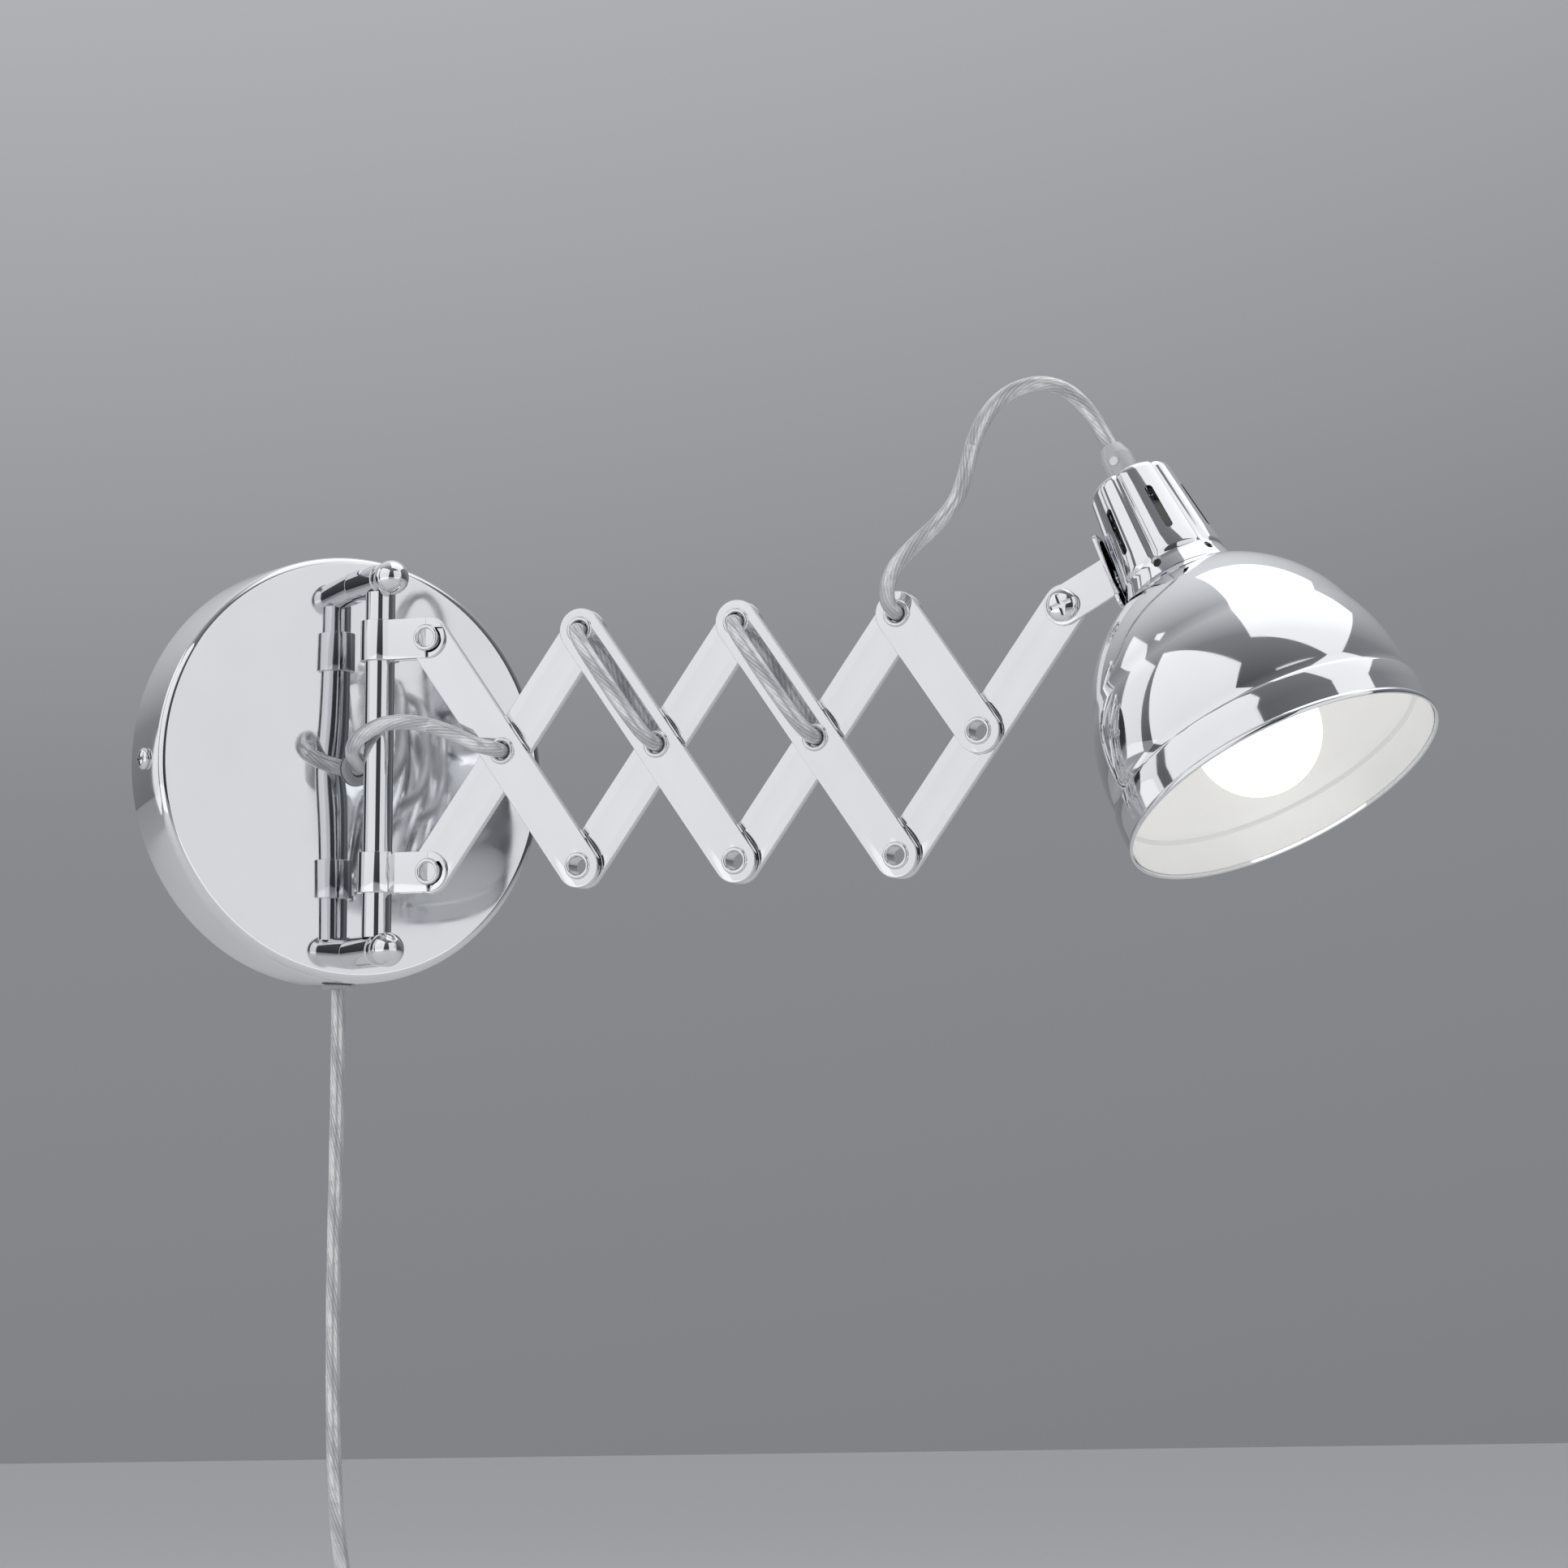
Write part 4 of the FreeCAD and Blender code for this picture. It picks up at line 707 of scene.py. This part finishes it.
def cut_by(obj, cutter, name, crossing=False):
    """The object with a bmesh cut out of it; crossing says that the cutter's parts overlap."""
    tool = mesh_object(name + "_tool", cutter)
    cut = obj.modifiers.new("cut", "BOOLEAN")
    cut.object = tool
    cut.operation = "DIFFERENCE"
    cut.solver = "EXACT"
    cut.use_self = crossing
    result = to_mesh(obj, name)
    bpy.data.objects.remove(tool)
    return result


def cross_head(name, radius, height, matrix, length, shank):
    """A round-headed screw with a cross recess; the head stands on the matrix's XY plane."""
    dome = [(radius, height * 0.3)]
    for step in range(1, 9):
        a = math.pi / 2 * step / 8
        dome.append((radius * math.cos(a), height * (0.3 + 0.7 * math.sin(a))))
    outline = [(0.0, -length), (shank * 0.8, -length), (shank, -length + 0.5), (shank, 0.0),
               (radius * 0.96, 0.0)] + dome
    obj = lathe(name, outline, Matrix.Identity(4), 48, closed=False)
    cutter = bmesh.new()
    arm = radius * 0.675
    wide = radius * 0.27
    for angle in (0, math.pi / 2):
        low = bmesh.ops.create_cube(cutter, size=1)
        scale = Matrix.Diagonal((2 * arm, wide, height * 1.2, 1))
        spin = turn(angle, "Z") @ move(0, 0, height * 1.05)
        bmesh.ops.transform(cutter, matrix=metres(spin @ scale), verts=low["verts"])
    result = cut_by(obj, cutter, name, crossing=True)
    result.data.transform(metres(matrix) @ Matrix.Scale(1 / MM, 4))
    return sharp_smooth(result, 35)


def make_canopy_screws():
    for side, word in ((-1, "left"), (1, "right")):
        place = move((CANOPY_R + 0.05) * side, -12, 0) @ turn(math.pi / 2 * side, "Y")
        obj = cross_head("side_screw_" + word, 4, 2.4, place, 7, 1.95)
        finish_piece(obj, "canopy_screw_" + word, smooth=False)


# ---------------------------------------------------------------- standoffs, post and collars
def make_standoffs():
    """Two threaded rods with a ball end, which hold the post's ends."""
    ball_r, waist, centre = 6.4, 5, 26.5
    start = (waist, centre - math.sqrt(ball_r ** 2 - waist ** 2))
    ball = arc_points(start, (ball_r, centre), ball_r, 1, 8)
    ball += arc_points((ball_r, centre), (0.0, centre + ball_r), ball_r, 1, 14)
    rod = rounded([(2.95, -9, 0.4), (2.95, 0), (6, 0, 0.2), (6, 20.5, 0.5), (waist, 20.5, 0.2)],
                  False)
    outline = [(0.0, -9.0)] + [tuple(p) for p in rod] + [start] + ball
    for side, word in ((1, "top"), (-1, "bottom")):
        place = move(0, -CANOPY_DEPTH, STANDOFF_Z * side) @ FRONT
        obj = lathe("arm_stop_" + word, outline, place, 72, closed=False)
        finish_piece(sharp_smooth(obj, 30), "standoff_" + word, smooth=False)


def make_post():
    post_r, spigot_r, shoulder, tip = 5.5, 3, 64.2, 69.7
    upper = [(post_r, shoulder), (spigot_r, shoulder), (spigot_r, tip), (0.0, tip)]
    lower = [(r, -z) for r, z in reversed(upper)]
    obj = lathe("post_rod", lower + upper, move(0, POST_Y, 0), 64, False)
    finish_piece(sharp_smooth(obj, 30), "post", smooth=False)


def collar_outline(bore, outer, reach, front, back):
    """A strip round the post and out to reach; front and back are its ears' (inner, outer) Y."""
    def edge(y, radius):
        return math.atan2(y, math.sqrt(radius ** 2 - y ** 2))

    def sweep(start, angle, radius):
        angles = [start + angle * k / 64 for k in range(65)]
        return [(radius * math.cos(a), radius * math.sin(a)) for a in angles]

    start, stop = edge(front[1], outer), edge(back[1], outer)
    outline = [(reach, front[1])] + sweep(start, (stop - start) - 2 * math.pi, outer)
    outline += [(reach, back[1]), (reach, back[0])]
    start, stop = edge(front[0], bore), edge(back[0], bore)
    outline += sweep(stop, 2 * math.pi - (stop - start), bore)
    return outline + [(reach, front[0])]


def make_collars():
    """Each collar is one strip wrapped round the bush, its two ends closed on the bar."""
    gap, sheet, reach, half, overlap = 1.55, 1.1, 21.0, 7.5, 0.3
    for word, side, height in (("top", 1, ARM_HEIGHT), ("bottom", -1, ARM_HEIGHT - 2 * RISE)):
        name = "collar_wrap_" + word
        place = ARM @ move(0, 0, height)
        middle = -1.9 * side
        front = (middle - gap, middle - gap - sheet)
        back = (middle + gap, middle + gap + sheet)
        bm = bmesh.new()
        take_mesh(bm, filled(name, [collar_outline(6.1, 7.2, reach, front, back)], half, 0.18))
        for face in (front, back):
            root = [(reach, half), (reach - overlap, half), (reach - overlap, -half)]
            tip = ring_points(reach, 0, half, 36, -math.pi / 2, math.pi)
            hole = ring_points(reach + 0.001, 0, RIVET_HOLE_R, 32)
            ear = plate("collar_ear", [tip + root, hole], sheet, 0.15,
                        move(0, min(face) + sheet, 0))
            ear.data.transform(Matrix.Scale(1 / MM, 4))
            take_mesh(bm, ear)
        bmesh.ops.remove_doubles(bm, verts=bm.verts, dist=1e-5)
        bm.transform(metres(place))
        finish_piece(sharp_smooth(mesh_object(name, bm), 35), "collar_" + word, smooth=False)
        bush = lathe("bush_sleeve_" + word, rounded([
            (5.55, -half, 0.15), (6.05, -half, 0.15), (6.05, half, 0.15), (5.55, half, 0.15),
        ]), place, 48)
        finish_piece(sharp_smooth(bush), "collar_bush_" + word, smooth=False)


# ---------------------------------------------------------------- bars and eyelets
LAYER_Y = {"front": -0.4, "back": 3.4}
SPACERS = {"a": (1, 2), "c": (0, 1, 2), "e": (0, 1, 2), "g": (0, 1)}


def make_bars():
    for name, (start, slope, layer, last) in BARS.items():
        place = arm_at(start, LAYER_Y[layer], -FOLD * slope)
        radii = [RIVET_HOLE_R] * (last + 1)
        if name == "h":
            radii[-1] = SCREW_HOLE_R
        holes = [ring_points(BAR_PITCH * k, 0, radius) for k, radius in enumerate(radii)]
        outlines = [stadium(0, BAR_PITCH * last, BAR_HALF_WIDTH)] + holes
        obj = plate("strip_" + name, outlines, BAR_THICKNESS, 0.35, place, 3)
        for k in SPACERS.get(name, ()):
            washer = lathe("washer_{}_{}".format(name, k), rounded([
                (RIVET_HOLE_R, 0), (6, 0, 0.1), (6, 0.74, 0.15), (RIVET_HOLE_R, 0.74),
            ]), place @ move(BAR_PITCH * k, 0, 0) @ turn(-math.pi / 2, "X"), 40)
            finish_piece(washer, "bar_" + name, smooth=False, replace=False)
        finish_piece(obj, "bar_" + name, smooth=False)


def make_eyelets():
    """Hollow rivets, each rolled over at both ends."""
    wall, roll, bore = 4.1, 0.9, 3.8
    for pivot in PIVOTS:
        if pivot == "end":
            continue
        front, back = {"u": (4.55, -0.75), "l": (0.75, -4.55)}.get(pivot, (3.4, -3.45))
        angles = [math.pi * k / 8 for k in range(9)]
        outline = [(wall + roll * math.cos(a), front + roll * math.sin(a)) for a in angles]
        outline.append((wall - roll, back))
        outline += [(wall + roll * math.cos(math.pi - a), back - roll * math.sin(math.pi - a))
                    for a in angles]
        outline += [(bore, back), (bore, front)]
        obj = lathe("eyelet_ring_" + pivot, outline, arm_at(pivot) @ FRONT, 48)
        finish_piece(sharp_smooth(obj, 45), "eyelet_" + pivot, smooth=False)


def make_end_screw():
    place = arm_at("end", -1.2) @ FRONT
    obj = cross_head("tilt_screw", 5.9, 3.4, place @ turn(0.35, "Z"), 9.6, 2.5)
    finish_piece(obj, "end_screw", smooth=False)


# ---------------------------------------------------------------- head
def neck_crest(z):
    """Radius of the neck on its lobes at a height."""
    return NECK_TOP_R + (NECK_TOP - z) * math.tan(NECK_TAPER)


def lobe(crest, groove, angle):
    """Radius of the lobed outline at an angle: six wide lobes with a narrow groove between them."""
    step = 2 * math.pi / LOBES
    off = abs((angle - math.pi + step / 2) % step - step / 2) / (step / 2)
    dip = max(0.0, (off - 0.72) / 0.28)
    return crest - groove * (0.35 * off ** 2 + 0.65 * dip * dip * (3 - 2 * dip))


def neck_levels():
    """The neck's rings as (height, crest radius, depth of the grooves), from its flared foot up."""
    foot = [(NECK_BASE, 0.6, 0.0), (86.0, 0.25, 0.0), (88.5, -0.25, 0.0), (90.3, -0.62, 0.0),
            (90.8, -0.55, 0.5), (91.5, -0.12, 1.2)]
    rounding = NECK_TOP - NECK_ROUNDING
    body = [(z, 0, NECK_GROOVE) for z in (92.6, 98, 104, 110, 116, 122, rounding)]
    levels = [(z, neck_crest(z) + flare, groove) for z, flare, groove in foot + body]
    for k in range(1, 7):
        a = math.pi / 2 * k / 6
        crest = neck_crest(rounding) - NECK_ROUNDING * (1 - math.cos(a))
        levels.append((rounding + NECK_ROUNDING * math.sin(a), crest, NECK_GROOVE))
    lid = ((11.5, 0.8), (9.0, 0.3), (7, 0.0), (5.0, 0.0))
    return levels + [(NECK_TOP, radius, groove) for radius, groove in lid]


def make_neck():
    segments = 240
    bm = bmesh.new()
    rings = []
    for z, crest, groove in neck_levels():
        ring = []
        for k in range(segments):
            a = 2 * math.pi * k / segments
            r = lobe(crest, groove, a) if groove else crest
            ring.append(bm.verts.new((r * math.cos(a), r * math.sin(a), z)))
        rings.append(ring)
    for low, high in zip(rings, rings[1:]):
        for k in range(segments):
            n = (k + 1) % segments
            bm.faces.new((low[k], low[n], high[n], high[k]))
    bmesh.ops.recalc_face_normals(bm, faces=bm.faces)
    obj = mesh_object("neck_sheet", bm)
    solid = obj.modifiers.new("sheet", "SOLIDIFY")
    solid.thickness = SHADE_SHEET
    solid.offset = -1
    solid.use_even_offset = False
    cutter = bmesh.new()
    step = 2 * math.pi / LOBES
    for k in range(1, LOBES):
        slot_shape(cutter, math.pi + step * k, 108.5, 19.0, 2.8)
    for k in range(LOBES):
        slot_shape(cutter, math.pi + step * (k + 0.5), 88.3, 3.2, 3.0)
    neck = cut_by(obj, cutter, "neck_cup")
    neck.data.transform(metres(SHADE))
    finish_piece(sharp_smooth(neck, 28), "neck_cover", smooth=False)


def slot_shape(bm, angle, height, length, width):
    """A radial cutter with round ends."""
    half = length / 2 - width / 2
    points = stadium(-half, half, width / 2, 10)
    spin = turn(angle, "Z")
    rings = []
    for x in (9.0, 30.0):
        rings.append([bm.verts.new(spin @ Vector((x, p[1], height + p[0]))) for p in points])
    count = len(points)
    for k in range(count):
        n = (k + 1) % count
        bm.faces.new((rings[0][k], rings[0][n], rings[1][n], rings[1][k]))
    bm.faces.new(list(reversed(rings[0])))
    bm.faces.new(rings[1])
    bmesh.ops.recalc_face_normals(bm, faces=bm.faces)


def dome_line(inset):
    """The shade's outline from its top hole down to its waist, set in by a thickness."""
    slope = math.radians(25)
    knee = (50 - inset * math.cos(slope), 49 - inset * math.sin(slope))
    waist = (55.8 - inset, 15.9)
    top = (20.5 - inset / 2, NECK_BASE - inset)
    line = [(14.1, top[1]), (18.5, top[1]), top]
    line += arc_points(top, knee, 57 - inset, -1, 18)
    line += arc_points(knee, waist, 62 - inset, -1, 14)
    return line


def make_shade():
    bead = [(55.9, 15.4), (56.3, 14.9), (56.9, 14.55), (57.3, 14.2), (57.42, 13.6), (57.5, 8),
            (57.6, 2.2)]
    bead += [(57.6 + 0.45 * math.sin(a), 1.0 + 1.0 * math.cos(a)) for a in
             [math.pi * k / 8 for k in range(1, 8)]]
    bead += [(57.2, 0.0), (56.9, 0.25)]
    inner = [(56.8, 2), (56.6, 13.2), (56.3, 13.8), (55.6, 14.4)] + dome_line(SHADE_SHEET)[::-1]
    obj = lathe("shade_bell", dome_line(0) + bead + inner, SHADE, 180)
    finish_piece(sharp_smooth(obj, 24), "shade", smooth=False)
    skin = [(56.75, 1.2), (56.55, 13.2), (56.25, 13.8), (55.4, 14.5)] + dome_line(0.82)[::-1]
    skin += dome_line(1.1) + [(55.1, 14.4), (55.9, 13.7), (56.25, 13.1), (56.45, 1.4)]
    lining = lathe("shade_enamel", skin, SHADE, 180)
    finish_piece(sharp_smooth(lining, 24), "shade_lining", smooth=False)
    ring = lathe("holder_ring", rounded([
        (14.05, 76.9, 0.3), (18.5, 76.9, 0.6), (20, 78.4, 0.6), (20, 82.85, 0.4),
        (14.05, 82.85, 0.3),
    ]), SHADE, 96)
    finish_piece(sharp_smooth(ring), "shade_ring", smooth=False)


def make_holder():
    thread = []
    z = 60.0
    while z < 76:
        thread += [(13.6, z), (14.0, z + 0.6), (14.0, z + 1.0), (13.6, z + 1.6)]
        z += 2.0
    outline = [(7.2, 60.2), (7.6, 59.9)] + thread + rounded([
        (14, 77), (14, 84.85), (16.6, 84.85, 0.4), (16.6, 87.45, 0.5), (12, 87.45, 0.5),
        (12, 112.45, 1.5), (9, 115.45, 1.5), (0.01, 115.45),
    ], False)
    outline += [(0.0, 86.0), (7.2, 86.0)]
    obj = lathe("lampholder_body", [tuple(p) for p in outline], SHADE, 72)
    finish_piece(sharp_smooth(obj), "lampholder", smooth=False)


def make_bulb():
    tip, shoulder_r = 0.5, 14.5
    side = (BULB_R, tip + BULB_R)
    ball = arc_points((0.0, tip), side, BULB_R, 1, 18)
    shoulder = (shoulder_r, tip + BULB_R + math.sqrt(BULB_R ** 2 - shoulder_r ** 2))
    ball += arc_points(side, shoulder, BULB_R, 1, 12)
    neck = rounded([shoulder, (13.2, 43.5, 3), (9.4, 52.2, 2.5), (6.9, 54, 0.5)], False)[1:]
    thread = []
    for k in range(7):
        z = 56 + 2.7 * k
        thread += [(6.3, z), (6.75, z + 0.7), (6.75, z + 1.1), (6.3, z + 2.0)]
    cap = [(6.3, 75.0), (3.4, 76.6), (3.4, 78.0), (0.0, 78.0)]
    outline = [(0.0, tip)] + ball + [tuple(p) for p in neck] + thread + cap
    obj = lathe("bulb_globe", outline, SHADE, 96, closed=False)
    finish_piece(sharp_smooth(obj, 40), "bulb", smooth=False)


def make_gland():
    base = NECK_TOP + 0.05
    obj = lathe("gland_sleeve", rounded([
        (2.95, base - 3.2, 0.2), (4.9, base - 3.2, 0.2), (4.9, base), (5.9, base, 0.3),
        (5.6, base + 10.85, 1.2), (4.0, GLAND_TOP, 0.8), (2.95, GLAND_TOP, 0.3),
    ]), SHADE, 64)
    finish_piece(sharp_smooth(obj, 40), "cord_gland", NATURAL, False)


def make_bracket():
    """The bent strip on the tilt screw: a tab with a round end and the plate on the neck."""
    sheet, bevel, tab_r = 1.5, 0.25, 7.0
    reach = HEAD_OFFSET - neck_crest(TILT_HEIGHT) - 0.3
    plate_place = TILT @ move(reach - sheet / 2, HEAD_SIDE, 0) @ turn(NECK_TAPER, "Y")
    low, high, half = 88.0 - TILT_HEIGHT, 116.0 - TILT_HEIGHT, 9.45
    corners = rounded([(-half, low, 3.0), (half, low, 3.0), (half, high, 3.0), (-half, high, 3.0)])
    face_outline = [tuple(p) for p in corners]
    face = plate("bracket_face", [face_outline, ring_points(0, 0, 2.05, 24)], sheet, bevel,
                 plate_place @ turn(-math.pi / 2, "Z") @ move(0, sheet / 2, 0))
    tab_line = [(tab_r * math.cos(a), tab_r * math.sin(a)) for a in
                [math.pi / 2 + math.pi * k / 24 for k in range(25)]]
    tab_line += [(reach - 0.3, -tab_r), (reach - 0.3, tab_r)]
    tab = plate("bracket_tab", [tab_line, ring_points(0, 0, SCREW_HOLE_R, 32)], sheet, bevel,
                TILT @ move(0, 0.35, 0))
    bm = bmesh.new()
    take_mesh(bm, face)
    take_mesh(bm, tab)
    finish_piece(sharp_smooth(mesh_object("tilt_bracket", bm), 35), "head_bracket", smooth=False)
    seat = plate_place @ move(-sheet / 2, 0, 0) @ turn(-math.pi / 2, "Y")
    screw = cross_head("neck_screw", 3.6, 2.2, seat, 4.5, 2.0)
    finish_piece(screw, "bracket_screw", smooth=False)


make_canopy()
make_canopy_screws()
make_standoffs()
make_post()
make_collars()
make_bars()
make_eyelets()
make_end_screw()
make_neck()
make_shade()
make_holder()
make_bulb()
make_gland()
make_bracket()


# ---------------------------------------------------------------- nodes that stay
for node_name, node_object in NODES.items():
    node_object.data.materials.clear()
    node_object.data.materials.append(MATERIALS[slot_of[node_name]])


# ---------------------------------------------------------------- stage
def make_floor():
    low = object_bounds()[0][2] - 0.02
    bm = bmesh.new()
    bmesh.ops.create_grid(bm, x_segments=1, y_segments=1, size=6)
    floor = mesh_object("floor", bm)
    floor.location = (0, 0, low)
    m = Nodes("floor_paint")
    m.set(Roughness=0.9, Base_Color=(0.8, 0.8, 0.8, 1))
    floor.data.materials.append(m.material)


def softbox(name, place, aim, size, glow):
    """A square-cornered lamp that looks glow bright, where 1 is white."""
    data = bpy.data.lights.new(name, "AREA")
    data.shape = "RECTANGLE"
    data.size, data.size_y = size
    data.energy = glow * math.pi * size[0] * size[1]
    lamp = bpy.data.objects.new(name, data)
    bpy.context.scene.collection.objects.link(lamp)
    direction = Vector(aim) - Vector(place)
    aimed = direction.to_track_quat("-Z", "Y").to_matrix().to_4x4()
    lamp.matrix_world = Matrix.Translation(Vector(place)) @ aimed


def make_world():
    """A room that is pale behind the lamp and overhead, and dim on the side that looks at it."""
    world = bpy.data.worlds.new("studio")
    bpy.context.scene.world = world
    world.use_nodes = True
    tree = world.node_tree
    back = tree.nodes["Background"]
    place = tree.nodes.new("ShaderNodeTexCoord")
    lean = tree.nodes.new("ShaderNodeVectorMath")
    lean.operation = "DOT_PRODUCT"
    lean.inputs[1].default_value = (0.15, 0.5, 0.85)
    ramp = tree.nodes.new("ShaderNodeValToRGB")
    tree.links.new(place.outputs["Generated"], lean.inputs[0])
    spread = tree.nodes.new("ShaderNodeMapRange")
    spread.inputs["From Min"].default_value = -1
    tree.links.new(lean.outputs["Value"], spread.inputs["Value"])
    tree.links.new(spread.outputs["Result"], ramp.inputs["Fac"])
    points = ramp.color_ramp.elements
    points[0].position, points[0].color = 0.2, (0.035, 0.037, 0.041, 1)
    points[1].position, points[1].color = 1.0, (0.84, 0.85, 0.87, 1)
    for position, colour in ((0.5, (0.09, 0.093, 0.1, 1)), (0.8, (0.25, 0.255, 0.27, 1))):
        points.new(position).color = colour
    tree.links.new(ramp.outputs["Color"], back.inputs["Color"])
    back.inputs["Strength"].default_value = 1.0


make_floor()
make_world()
centre = (0.12, -0.18, 0.1)
head = (0.25, -0.28, 0.05)
softbox("key_left", (-1.4, -0.35, 0.5), centre, (2.0, 2.0), 0.85)
softbox("face_right", (0.55, -2.15, 0.6), centre, (2.2, 2.1), 0.8)
softbox("overhead", (0.72, -0.47, 1.85), head, (2.2, 2.0), 0.85)
softbox("back_left", (-1.3, 1.3, 0.5), head, (0.9, 1.7), 0.75)

bpy.context.scene.view_settings.view_transform = "Standard"
